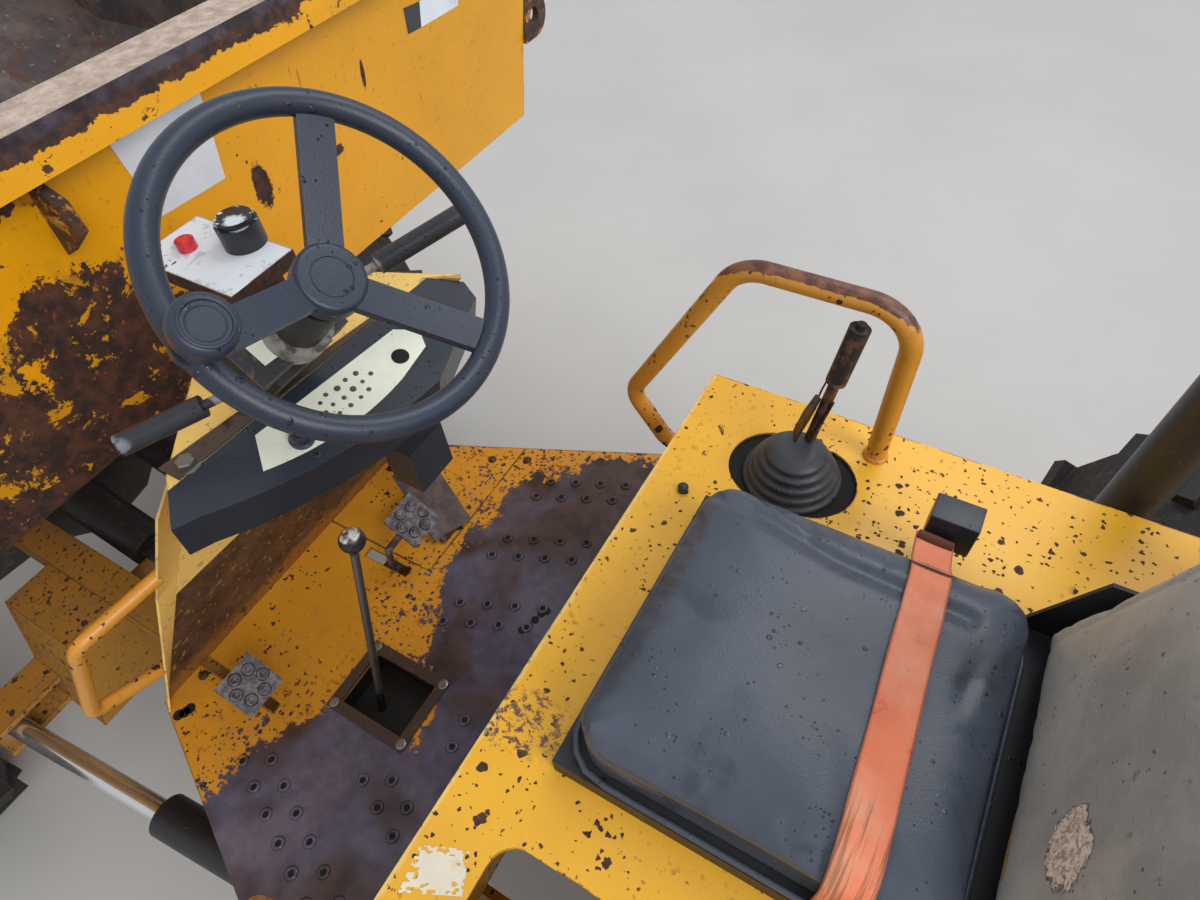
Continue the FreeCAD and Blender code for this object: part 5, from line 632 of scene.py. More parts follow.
def plain_looks():
    """The finish of each of the record's material slots."""
    worn_black = tone(40, 45, 54)
    return {
        "skip_yellow": painted("skip_paint", SKIP_PAINT, 0.25, 0.25, 0.10, WALL_PATCHES, 0.36, 0.7, skip_finish),
        "cab_yellow": painted("cab_paint", CAB_PAINT, 0.80, 0.20, 0.10, (), 0.34, 0.6, plinth_finish),
        "rusty_plate": painted("floor_paint", FLOOR_PAINT, 0.7, 0.4, 0.35, (), 0.5, 0.9, floor_finish),
        "chassis_paint": painted("chassis_paint", tone(166, 116, 38), 0.9, 0.8, 0.9, (), 0.6, 0.9),
        "axle_iron": moulded("axle_iron", tone(52, 48, 46), 220.0, 0.65, 0.8, 0.0, 0.0012, YARD_DIRT),
        "wheel_paint": painted("wheel_paint", tone(206, 146, 48), 0.6, 0.5, 0.9, (), 0.6, 0.9),
        "tyre_rubber": moulded("tyre_rubber", tone(40, 38, 38), 260.0, 0.75, 0.9, 0.0, 0.001, YARD_DIRT),
        "pin_steel": metal("lever_steel", tone(120, 116, 112), 0.38, 0.45, 0.0, lever_finish),
        "ram_paint": moulded("ram_paint", tone(38, 38, 40), 300.0, 0.5, 0.7, 0.15, 0.0006, YARD_DIRT),
        "rod_chrome": metal("rod_chrome", (0.75, 0.75, 0.76), 0.12, 0.05),
        "roll_bar_paint": painted("roll_bar_paint", tone(46, 46, 50), 0.4, 0.3, 0.3, (), 0.42),
        "vinyl": moulded("seat_vinyl", tone(71, 78, 90), 420.0, 0.35, 0.16, 0.5, 0.0004, None, seat_finish),
        "black_plastic": moulded("black_plastic", worn_black, 700.0, 0.34, 0.35, 0.6),
        "cream_panel": moulded("cream_panel", tone(222, 224, 204), 900.0, 0.30, 0.2, 0.2, 0.0002, tone(180, 176, 150)),
        "wheel_plastic": moulded("wheel_plastic", tone(38, 46, 61), 620.0, 0.36, 0.35, 0.6),
        "rubber_black": moulded("rubber_black", tone(54, 56, 60), 420.0, 0.5, 0.45, 0.3),
        "webbing": moulded("webbing", tone(236, 130, 94), 420.0, 0.8, 0.0, 0.0, 0.0002, None, webbing_finish),
        "white_bracket": painted("white_bracket", tone(222, 226, 230), 0.4, 0.2, 0.1, (), 0.4, 0.9, bracket_finish),
        "button_mix": moulded("button_black", tone(36, 38, 42), 600.0, 0.32, 0.3, 0.4, 0.0002, None, button_finish),
        "lamp_red": moulded("lamp_red", tone(160, 24, 24), 300.0, 0.18, 0.1, 0.0),
        "engine_iron": moulded("engine_iron", tone(58, 56, 54), 200.0, 0.6, 0.7, 0.0, 0.001, YARD_DIRT),
    }


def more_looks():
    """Finishes that the scene's own pieces and single nodes have."""
    return {
        "skip_lugs": painted("lug_paint", tone(190, 128, 30), 0.9, 0.9, 0.4, (), 0.5, 0.9, lug_finish),
        "skip_rim": painted("rim_paint", SKIP_PAINT, 0.3, 0.5, 0.3, (), 0.5, 0.0, rim_finish),
        "hoop_rails": painted("rail_paint", tone(206, 142, 48), 0.8, 0.4, 0.15, (), 0.36, 0.3, rail_finish),
        "grab_handle": painted("handle_paint", tone(212, 146, 50), 0.9, 0.6, 0.15, (), 0.36, 0.3),
        "column_stalks": moulded("stalk_black", tone(42, 44, 50), 700.0, 0.34, 0.3, 0.4, 0.0002, None, stalk_finish),
        "seat_backrest": moulded("backrest_vinyl", tone(142, 144, 142), 300.0, 0.40, 0.2, 0.35, 0.0006, tone(150, 148, 142), backrest_finish),
        "toe_board": painted("toe_paint", tone(140, 96, 40), 0.9, 0.9, 0.6, (), 0.5, 0.9, toe_finish),
        "gear_lever_frame": painted("frame_steel", tone(66, 52, 50), 0.5, 0.4, 0.3, (), 0.36, 0.5),
        "seat_pan": moulded("pan_black", tone(34, 34, 38), 300.0, 0.5, 0.4, 0.2),
        "steering_ram_barrel": moulded("ram_black", tone(30, 30, 33), 300.0, 0.42, 0.4, 0.3, 0.0004),
        "sheet_white": moulded("sheet_white", tone(214, 222, 232), 300.0, 0.45, 0.12, 0.0, 0.0002, tone(180, 178, 176)),
        "sheet_dark": moulded("sheet_dark", tone(52, 56, 60), 300.0, 0.45, 0.3, 0.0, 0.0002),
        "sheet_peeled": moulded("sheet_peeled", tone(226, 218, 196), 200.0, 0.6, 0.5, 0.0, 0.0006, tone(170, 130, 80)),
        # Near-black discs that stand for holes: painted shade where one looks into them.
        "hole_shade_black": moulded("hole_shade_black", tone(14, 12, 12), 200.0, 0.8, 0.2, 0.0),
        "grey_strip": metal("grey_strip", tone(112, 100, 92), 0.5, 0.55, 0.5),
        "bolt_steel": metal("bolt_steel", tone(150, 148, 146), 0.35, 0.15),
        "bolt_rusty": metal("bolt_rusty", tone(84, 68, 58), 0.5, 0.7),
        "mark_dark": moulded("mark_dark", tone(66, 68, 66), 300.0, 0.5, 0.2, 0.0),
        "bellows": moulded("bellows_rubber", tone(58, 60, 66), 300.0, 0.42, 0.5, 0.5, 0.0004, tone(110, 108, 108)),
        "webbing_dark": moulded("webbing_dark", tone(96, 56, 42), 420.0, 0.8, 0.3, 0.0, 0.0004),
        "wire_orange": moulded("wire_orange", tone(196, 84, 36), 300.0, 0.5, 0.2, 0.0),
        "hose_black": moulded("hose_black", tone(28, 28, 31), 500.0, 0.42, 0.3, 0.3),
    }


def toe_finish(look):
    """Toe board scuffed down to brown steel, with paint left along its foot."""
    height = look.wander(look.axis("Z"), (8.0, 0.05), (40.0, 0.03))
    bare = look.band(height, 0.985, 1.02)
    brown = look.mix(look.band(look.noise(16.0, 5.0, 0.7), 0.35, 0.65), tone(50, 38, 36), tone(90, 66, 50))
    look.over(bare, brown, 0.5)
    look.over(look.times(bare, look.band(look.noise(70.0, 4.0), 0.60, 0.66)), tone(150, 104, 44), 0.6)


def dress_nodes(looks):
    """Gives every CAD node its own finish, or else the one of its slot in the record."""
    for row in frame["record"]["subparts"]:
        part = nodes[row["node"]]
        look = looks.get(row["node"]) or looks[row["material_slot"]]
        for holder in part.material_slots:
            holder.material = look


def make_stage():
    mesh = bpy.data.meshes.new("yard_floor")
    reach = FLOOR_HALF
    corners = [(-reach, -reach, 0), (reach, -reach, 0), (reach, reach, 0), (-reach, reach, 0)]
    mesh.from_pydata(corners, [], [(0, 1, 2, 3)])
    floor = bpy.data.objects.new("yard_floor", mesh)
    bpy.context.scene.collection.objects.link(floor)
    look = Look("pale_floor", FLOOR_COLOUR, 0.7)
    darker = tuple(part * 0.92 for part in FLOOR_COLOUR)
    look.over(look.band(look.noise(0.7, 5.0, 0.6), 0.3, 0.7), darker)
    look.over(look.band(look.noise(6.0, 5.0, 0.7), 0.45, 0.75, 0.0, 0.35), darker)
    look.relief(look.noise(160.0, 3.0), 0.001, 0.2)
    mesh.materials.append(look.done())


# ---------------------------------------------------------------- making and placing pieces

TREES = {}


def tree_of(part):
    if part.name not in TREES:
        TREES[part.name] = BVHTree.FromObject(part, bpy.context.evaluated_depsgraph_get())
    return TREES[part.name]


def land(start, way, *parts):
    """The nearest point, and the outward normal there, where a line meets one of some parts."""
    way = Vector(way).normalized()
    best = None
    for part in parts:
        part = nodes[part] if isinstance(part, str) else part
        point, normal, _, far = tree_of(part).ray_cast(Vector(start), way)
        if point is not None and (best is None or far < best[2]):
            best = (point, normal if normal.dot(way) < 0 else -normal, far)
    if best is None:
        raise ValueError(f"no part lies at {tuple(start)} along {tuple(way)}")
    return best[0], best[1]


def seen(across, down, *parts):
    """Where a part shows at a pixel of the photograph."""
    focal = CAMERA_LENS / SENSOR * PHOTO_WIDE
    way = Vector(CAMERA_RIGHT) * (across - PHOTO_WIDE / 2) / focal
    way += Vector(CAMERA_UP) * (PHOTO_TALL / 2 - down) / focal - Vector(CAMERA_BACK)
    return land(CAMERA_PLACE, way, *parts)


def place(name, made, look, body, slot_name, smooth=True):
    """Turns a bmesh into a piece with its finish, on its body."""
    mesh = bpy.data.meshes.new(name)
    bmesh.ops.recalc_face_normals(made, faces=made.faces)
    made.to_mesh(mesh)
    made.free()
    for face in mesh.polygons:
        face.use_smooth = smooth
    mesh.materials.append(look)
    piece = bpy.data.objects.new(name, mesh)
    bpy.context.scene.collection.objects.link(piece)
    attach(piece, body)
    return piece


def sharpen(piece, degrees=32):
    """Keeps a smooth piece's real edges crisp."""
    for edge in piece.data.edges:
        edge.use_edge_sharp = False
    made = bmesh.new()
    made.from_mesh(piece.data)
    for edge in made.edges:
        if len(edge.link_faces) == 2 and edge.calc_face_angle(0.0) > math.radians(degrees):
            edge.smooth = False
    made.to_mesh(piece.data)
    made.free()
    return piece


def lathe(made, origin, axis, profile, sides=20, oval=(1.0, 1.0), side_way=None, turn=0.0):
    """Turns a profile of (radius, height) round an axis, closed at both ends."""
    axis = Vector(axis).normalized()
    across = Vector(side_way) if side_way else axis.orthogonal()
    across = (across - axis * across.dot(axis)).normalized()
    third = axis.cross(across)
    rings = []
    for radius, height in profile:
        ring = []
        for step in range(sides):
            angle = turn + 2 * math.pi * step / sides
            out = across * (math.cos(angle) * oval[0]) + third * (math.sin(angle) * oval[1])
            ring.append(made.verts.new(Vector(origin) + axis * height + out * radius))
        rings.append(ring)
    for lower, upper in zip(rings, rings[1:]):
        for step in range(sides):
            after = (step + 1) % sides
            made.faces.new((lower[step], lower[after], upper[after], upper[step]))
    made.faces.new(rings[-1])
    made.faces.new(list(reversed(rings[0])))


HEX_HEAD = ((0.0, -0.2), (1.0, -0.2), (1.0, 0.55), (0.86, 0.70), (0.0, 0.70))
DOMED_HEAD = ((1.0, -0.2), (1.0, 0.10), (0.86, 0.34), (0.55, 0.52), (0.10, 0.58))
WASHER = ((1.55, -0.2), (1.55, 0.12), (1.42, 0.20), (0.9, 0.20))


def fasteners(name, places, size, look, body, slot_name="pin_steel", head="hex"):
    """Bolt heads, each on its point with the surface's normal."""
    made = bmesh.new()
    for count, (point, normal) in enumerate(places):
        if head == "hex":
            shape = [(max(radius, 0.02) * size, height * size) for radius, height in HEX_HEAD[1:]]
            lathe(made, point, normal, [(r * size, h * size) for r, h in WASHER], 20)
            lathe(made, point, normal, shape, 6, turn=count * 0.7)
        else:
            lathe(made, point, normal, [(r * size, h * size) for r, h in DOMED_HEAD], 16)
    return sharpen(place(name, made, look, body, slot_name))


def lies_on(name, corners, parts, look, body, slot_name, steps=8, lift=0.0006, torn=0.0):
    """A thin sheet that lies on a part between four pixels of the photograph, its outline torn if asked."""
    made = bmesh.new()
    grid = []
    for row in range(steps + 1):
        line = []
        for column in range(steps + 1):
            u, v = column / steps, row / steps
            top = [a + (b - a) * u for a, b in zip(corners[0], corners[1])]
            low = [a + (b - a) * u for a, b in zip(corners[3], corners[2])]
            point, normal = seen(*[a + (b - a) * v for a, b in zip(top, low)], *parts)
            line.append(made.verts.new(point + normal * lift))
        grid.append(line)
    for row in range(steps):
        for column in range(steps):
            if torn:
                border = min(row, column, steps - 1 - row, steps - 1 - column) / steps
                if noise.noise((row * 0.31, column * 0.31, 4.2)) * torn > border + 0.02:
                    continue
            made.faces.new((grid[row][column], grid[row][column + 1], grid[row + 1][column + 1], grid[row + 1][column]))
    return place(name, made, look, body, slot_name)


def tube(name, points, radius, look, body, sides=6):
    """A thin wire or pipe along one smooth line."""
    curve = bpy.data.curves.new(name, "CURVE")
    curve.dimensions = "3D"
    curve.bevel_depth = radius
    curve.bevel_resolution = sides
    curve.use_fill_caps = True
    line = curve.splines.new("NURBS")
    line.points.add(len(points) - 1)
    for knot, point in zip(line.points, points):
        knot.co = (*point, 1.0)
    line.order_u = 3
    line.use_endpoint_u = True
    curve.materials.append(look)
    piece = bpy.data.objects.new(name, curve)
    bpy.context.scene.collection.objects.link(piece)
    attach(piece, body)
    return piece


# ---------------------------------------------------------------- the operator's floor

FLOOR_Z = 0.950
STUD_STEP = (-0.0552, 0.0234)
STUD_ROWS = (
    # first x, first y, how many, side: a row runs backwards and outwards, parallel to the floor's edge
    (-0.1047, -0.4442, 6, -1),
    (-0.0973, -0.3923, 6, -1),
    (-0.1031, -0.2646, 6, -1),
    (-0.0958, -0.2119, 6, -1),
    (-0.1023, -0.0830, 6, -1),
    (-0.0957, -0.0308, 6, -1),
    (0.0687, 0.3821, 7, 1),
    (0.0203, 0.3530, 7, 1),
    (-0.1596, 0.2973, 5, 1),
    (-0.2077, 0.2716, 4, 1),
    (-0.2614, 0.1170, 3, 1),
    (-0.2705, 0.1690, 3, 1),
)
STUD = ((0.0125, 0.0), (0.0105, 0.0026), (0.0086, 0.0036), (0.0068, 0.0034), (0.0058, 0.0018), (0.0054, 0.0004))


def floor_pieces(looks):
    """Raised anti-slip holes, bolts and the odd holes of the floor plate, each hole a near-black disc of painted shade.
    """
    rims, holes = bmesh.new(), bmesh.new()
    for first_x, first_y, count, side in STUD_ROWS:
        for number in range(count):
            x = first_x + STUD_STEP[0] * number
            y = first_y + side * STUD_STEP[1] * number
            lathe(rims, (x, y, FLOOR_Z), (0, 0, 1), STUD, 20)
            # Painted shade: a near-black disc in each stud's hole.
            lathe(holes, (x, y, FLOOR_Z), (0, 0, 1), ((0.0056, 0.0002), (0.0056, 0.0008)), 14)
    place("floor_studs", rims, looks["rusty_plate"], "rear", "rusty_plate")
    # A kidney-shaped slot by the plinth and a pear-shaped hole at the left front, both near-black discs of painted
    # shade.
    for points, radius in (
        (((-0.256, -0.092), (-0.264, -0.106), (-0.268, -0.124), (-0.272, -0.142), (-0.279, -0.152)), 0.0085),
        (((0.250, 0.382), (0.243, 0.372), (0.240, 0.362)), 0.0110),
    ):
        for x, y in points:
            lathe(holes, (x, y, FLOOR_Z), (0, 0, 1), ((radius, 0.0002), (radius, 0.0012)), 16)
    place("floor_holes", holes, looks["hole_shade_black"], "rear", "rusty_plate", False)
    up = Vector((0, 0, 1))
    plate_bolts = [(Vector((0.0596, -0.4368, FLOOR_Z)), up), (Vector((-0.0189, -0.4740, FLOOR_Z)), up)]
    plate_bolts += [(Vector((0.270, side * 0.30, FLOOR_Z)), up) for side in (-1, 1)]
    fasteners("floor_bolts", plate_bolts, 0.0105, looks["bolt_rusty"], "rear", "pin_steel", "domed")
    corners = [(-0.0115, 0.081), (-0.0115, 0.213), (-0.1825, 0.081), (-0.1825, 0.213)]
    frame_bolts = [(Vector((x, y, FLOOR_Z + 0.005)), up) for x, y in corners]
    fasteners("gear_frame_bolts", frame_bolts, 0.0065, looks["bolt_steel"], "rear")


def pedal_pieces(looks):
    """Raised holes in the two pads, as in the floor, with near-black discs of painted shade in them."""
    rims, holes = bmesh.new(), bmesh.new()
    for centre, way in (((0.100, 0.2765, 1.050), 1), ((0.039, -0.149, 1.080), 1)):
        long_way = Vector((0.82, 0, 0.57)).normalized()
        wide_way = Vector((0, 1, 0))
        normal = long_way.cross(wide_way).normalized()
        if normal.z < 0:
            normal = -normal
        for step in range(6):
            angle = math.radians(18 + 60 * step)
            spot = Vector(centre) + long_way * math.cos(angle) * 0.028 + wide_way * math.sin(angle) * 0.028
            point, _ = land(spot + normal * 0.05, -normal, "pedals")
            lathe(rims, point, normal, STUD[:5], 18)
            lathe(holes, point, normal, ((0.0058, 0.0002), (0.0058, 0.0012)), 14)
    place("pedal_studs", rims, looks["pin_steel"], "rear", "pin_steel")
    place("pedal_holes", holes, looks["hole_shade_black"], "rear", "pin_steel", False)


# ---------------------------------------------------------------- the dash, the column and the bracket

DASH_CORNER = Vector((-0.063, 0.202, 1.680))
DASH_ALONG = Vector((-0.0729, -0.9973, 0.0))
DASH_TOWARDS = Vector((-0.9587, 0.0701, -0.2756))
DASH_DOWN = Vector((0.275, -0.020, -0.961))


def on_dash(along, towards, *parts):
    """A point of the dash's face, from its place along the cowl's edge and towards the seat."""
    spot = DASH_CORNER + DASH_ALONG * along + DASH_TOWARDS * towards
    return land(spot - DASH_DOWN * 0.15, DASH_DOWN, *parts)


def dash_pieces(looks):
    marks = bmesh.new()
    for along, towards, radius in (
        (0.205, 0.044, 0.0030), (0.219, 0.040, 0.0034), (0.236, 0.044, 0.0046), (0.253, 0.042, 0.0034),
        (0.270, 0.045, 0.0040), (0.199, 0.060, 0.0034), (0.214, 0.058, 0.0030), (0.231, 0.061, 0.0034),
        (0.249, 0.060, 0.0046), (0.266, 0.061, 0.0030), (0.283, 0.060, 0.0034), (0.210, 0.074, 0.0030),
        (0.228, 0.076, 0.0034), (0.246, 0.077, 0.0030), (0.262, 0.076, 0.0034),
    ):
        point, normal = on_dash(along, towards, "dash_panel")
        lathe(marks, point, normal, ((radius, -0.0002), (radius, 0.0005), (radius * 0.7, 0.0007)), 14)
    place("panel_marks", marks, looks["mark_dark"], "rear", "cream_panel")
    # Painted shade: a near-black disc stands for the hole in the panel.
    hole = bmesh.new()
    point, normal = on_dash(0.331, 0.070, "dash_panel")
    lathe(hole, point, normal, ((0.0125, -0.0002), (0.0125, 0.0012), (0.0105, 0.0018)), 24)
    place("panel_hole", hole, looks["hole_shade_black"], "rear", "black_plastic")
    knob = bmesh.new()
    point, normal = on_dash(0.151, 0.066, "dash_panel")
    dial = ((0.0165, -0.0002), (0.0165, 0.004), (0.0145, 0.006), (0.0135, 0.016), (0.0115, 0.019), (0.004, 0.0195))
    lathe(knob, point, normal, dial, 28)
    sharpen(place("panel_knob", knob, looks["black_plastic"], "rear", "black_plastic"))
    # The worn steel strip along the cowl's rear edge.
    strip = bmesh.new()
    rows = []
    for step in range(17):
        share = step / 16
        along = 0.018 + 0.392 * share
        width = 0.036 * (1 - share) + 0.003
        rows.append([strip.verts.new(DASH_CORNER + DASH_ALONG * along + Vector((width * side, 0, rise)))
                     for side, rise in ((0.02, -0.0008), (0.02, 0.0016), (1.0, 0.0016), (1.0, -0.0008))])
    for first, second in zip(rows, rows[1:]):
        for edge in range(4):
            after = (edge + 1) % 4
            strip.faces.new((first[edge], first[after], second[after], second[edge]))
    strip.faces.new(rows[0])
    strip.faces.new(list(reversed(rows[-1])))
    place("cowl_strip", strip, looks["grey_strip"], "rear", "pin_steel", False)
    bolt = [seen(187, 464, "dash_moulding", "tower_cowl")]
    fasteners("dash_bolt_left", bolt, 0.0125, looks["bolt_steel"], "rear")
    bolt = [on_dash(0.412, 0.022, "dash_moulding")]
    fasteners("dash_bolt_right", bolt, 0.010, looks["bolt_rusty"], "rear")


def column_label(looks):
    corners = ((262, 331), (291, 347), (265, 366), (238, 342))
    lies_on("column_label", corners, ("steering_column",), looks["cream_panel"], "rear", "cream_panel", 4)


# ---------------------------------------------------------------- handbrake

BOOT_CENTRE = (-0.665, -0.405, 1.356)
BOOT_WIDER = 1.12
BOOT_FOLDS = (
    (0.0715, -0.004), (0.0725, 0.003), (0.0690, 0.006), (0.0600, 0.0085), (0.0640, 0.0130), (0.0660, 0.0170),
    (0.0630, 0.0205), (0.0530, 0.0235), (0.0570, 0.0280), (0.0590, 0.0320), (0.0560, 0.0355), (0.0460, 0.0385),
    (0.0500, 0.0430), (0.0515, 0.0465), (0.0480, 0.0500), (0.0390, 0.0525), (0.0420, 0.0565), (0.0400, 0.0610),
    (0.0300, 0.0640), (0.0270, 0.0660), (0.0200, 0.0670),
)


def handbrake_pieces(looks):
    boot = bmesh.new()
    folds = [(radius * BOOT_WIDER, height) for radius, height in BOOT_FOLDS]
    lathe(boot, BOOT_CENTRE, (0, 0, 1), folds, 56, side_way=(1, 0, 0))
    piece = place("handbrake_boot", boot, looks["bellows"], "rear", "rubber_black")
    # Painted shade: a near-black oval in the plinth's hole round the boot.
    floor = bmesh.new()
    lathe(floor, BOOT_CENTRE, (0, 0, 1), ((0.122, -0.0055), (0.122, -0.003), (0.10, -0.002)), 56, (1.0, 0.74), (1, 0, 0))
    place("boot_hole", floor, looks["hole_shade_black"], "rear", "rubber_black", False)
    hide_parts("handbrake_gaiter")
    low = Vector((-0.662, -0.433, 1.420))
    high = Vector((-0.690, -0.459, 1.540))
    way = (high - low).normalized()
    across = Vector((0.35, -0.93, 0.0))
    across = (across - way * across.dot(way)).normalized()
    thin = way.cross(across)
    cheeks = bmesh.new()
    for side in (-1, 1):
        outline = ((-0.012, 0.0), (0.016, 0.0), (0.020, 0.040), (0.012, 0.085), (-0.010, 0.095), (-0.014, 0.050))
        faces = []
        for depth in (0.0095, 0.0125):
            faces.append([cheeks.verts.new(low + across * a + way * b + thin * side * depth) for a, b in outline])
        cheeks.faces.new(faces[0])
        cheeks.faces.new(list(reversed(faces[1])))
        for number in range(len(outline)):
            after = (number + 1) % len(outline)
            cheeks.faces.new((faces[0][number], faces[0][after], faces[1][after], faces[1][number]))
    place("lever_cheeks", cheeks, looks["bolt_rusty"], "rear", "pin_steel", False)
    side = low + way * 0.055 + across * 0.012
    wire = [side, side + across * 0.016 + way * 0.012, side + across * 0.020 + way * 0.045,
            side + across * 0.016 + way * 0.075, side + across * 0.019 + way * 0.082]
    tube("release_wire", wire, 0.0016, looks["bolt_rusty"], "rear", 3)


# ---------------------------------------------------------------- the skip's stickers and the plinth's label


def sticker_pieces(looks):
    wall = ("skip_tub",)
    white = ((107, 142), (199, 91), (225, 178), (160, 217))
    lies_on("blank_sheet", white, wall, looks["sheet_white"], "skip", "skip_yellow", 10, 0.0008)
    dark = ((403, 8), (419, 1), (421, 27), (408, 34))
    lies_on("blank_sticker_dark", dark, wall, looks["sheet_dark"], "skip", "skip_yellow", 4, 0.0008)
    pale = ((419, 1), (456, -20), (458, 5), (421, 27))
    lies_on("blank_sticker_pale", pale, wall, looks["sheet_white"], "skip", "skip_yellow", 4, 0.0008)
    peeled = ((420, 845), (470, 850), (462, 897), (398, 893))
    lies_on("peeled_label", peeled, ("seat_plinth",), looks["sheet_peeled"], "rear", "cab_yellow", 30, 0.0006, 0.55)


def plinth_pieces(looks):
    """The peg by the cushion."""
    peg = bmesh.new()
    point, normal = land((-0.519, -0.292, 1.6), (0, 0, -1), "seat_plinth")
    lathe(peg, point, normal, ((0.009, -0.001), (0.009, 0.010), (0.007, 0.013), (0.002, 0.014)), 20)
    place("plinth_peg", peg, looks["black_plastic"], "rear", "black_plastic")


# ---------------------------------------------------------------- the seat's soft pieces

CUSHION_GRID = 0.006
PUFF_CAP = 0.010


def soft_copy(name, node, rounding):
    """A closed copy of a CAD solid on an even grid, its edges rounded off, ready to be puffed up."""
    piece = bpy.data.objects.new(name, nodes[node].data.copy())
    bpy.context.scene.collection.objects.link(piece)
    piece.data.materials.clear()
    grid = piece.modifiers.new("grid", "REMESH")
    grid.mode = "VOXEL"
    grid.voxel_size = CUSHION_GRID
    shown = bpy.context.evaluated_depsgraph_get()
    piece.data = bpy.data.meshes.new_from_object(piece.evaluated_get(shown))
    piece.modifiers.clear()
    made = bmesh.new()
    made.from_mesh(piece.data)
    for _ in range(rounding):
        bmesh.ops.smooth_vert(made, verts=made.verts, factor=0.5, use_axis_x=True, use_axis_y=True, use_axis_z=True)
    made.to_mesh(piece.data)
    made.free()
    return piece


def puff(piece, cap, pressure=4.0, frames=20):
    """Blows a closed skin up a little as cloth, and keeps each point within a cap of where it was."""
    before = [point.co.copy() for point in piece.data.vertices]
    skin = piece.modifiers.new("skin", "CLOTH")
    skin.settings.use_pressure = True
    skin.settings.uniform_pressure_force = pressure
    skin.settings.effector_weights.gravity = 0.0
    skin.settings.quality = 4
    skin.settings.bending_stiffness = 0.6
    skin.point_cache.frame_start = 1
    skin.point_cache.frame_end = frames
    scene = bpy.context.scene
    for number in range(1, frames + 1):
        scene.frame_set(number)
    shown = piece.evaluated_get(bpy.context.evaluated_depsgraph_get())
    after = [point.co.copy() for point in shown.data.vertices]
    piece.modifiers.remove(skin)
    for point, old, new in zip(piece.data.vertices, before, after):
        move = new - old
        if move.length > cap:
            move *= cap / move.length
        point.co = old + move
    scene.frame_set(1)


def refine(piece, look):
    """One subdivision, smooth shading and the finish."""
    finer = piece.modifiers.new("finer", "SUBSURF")
    finer.levels = 1
    finer.render_levels = 1
    shown = bpy.context.evaluated_depsgraph_get()
    piece.data = bpy.data.meshes.new_from_object(piece.evaluated_get(shown))
    piece.modifiers.clear()
    for face in piece.data.polygons:
        face.use_smooth = True
    piece.data.materials.clear()
    piece.data.materials.append(look)


def near_line(point, start, end):
    """Distance from a flat point to a flat line, and how far along it lies, 0 to 1."""
    run = (end[0] - start[0], end[1] - start[1])
    size = run[0] ** 2 + run[1] ** 2
    share = ((point.x - start[0]) * run[0] + (point.y - start[1]) * run[1]) / size
    share = min(1.0, max(0.0, share))
    return math.hypot(point.x - start[0] - run[0] * share, point.y - start[1] - run[1] * share), share


CUSHION_FOLD = ((-0.605, -0.226), (-0.660, -0.218), (-0.720, -0.205), (-0.790, -0.192), (-0.860, -0.190), (-0.960, -0.186))
CUSHION_CREASES = tuple((start, end, 0.0130, 0.0075) for start, end in zip(CUSHION_FOLD, CUSHION_FOLD[1:])) + (
    # start, end, half width, depth: creases in the vinyl beside that fold
    ((-0.985, -0.150), (-0.975, -0.060), 0.0110, 0.0045),
    ((-0.700, 0.1500), (-0.760, 0.0300), 0.0200, 0.0022),
    ((-0.880, 0.1300), (-0.860, 0.0200), 0.0180, 0.0026),
    ((-0.640, 0.0600), (-0.660, -0.0500), 0.0220, 0.0020),
)


def round_corner(x, y, low, high, radius):
    """Moves a point of a rectangle's corner in onto its arc."""
    for edge_x, sign_x in ((low[0], -1), (high[0], 1)):
        for edge_y, sign_y in ((low[1], -1), (high[1], 1)):
            out_x = sign_x * (x - edge_x) + radius
            out_y = sign_y * (y - edge_y) + radius
            if out_x > 0 and out_y > 0:
                shrink = max(out_x, out_y) / math.hypot(out_x, out_y)
                x += sign_x * out_x * (shrink - 1)
                y += sign_y * out_y * (shrink - 1)
    return x, y


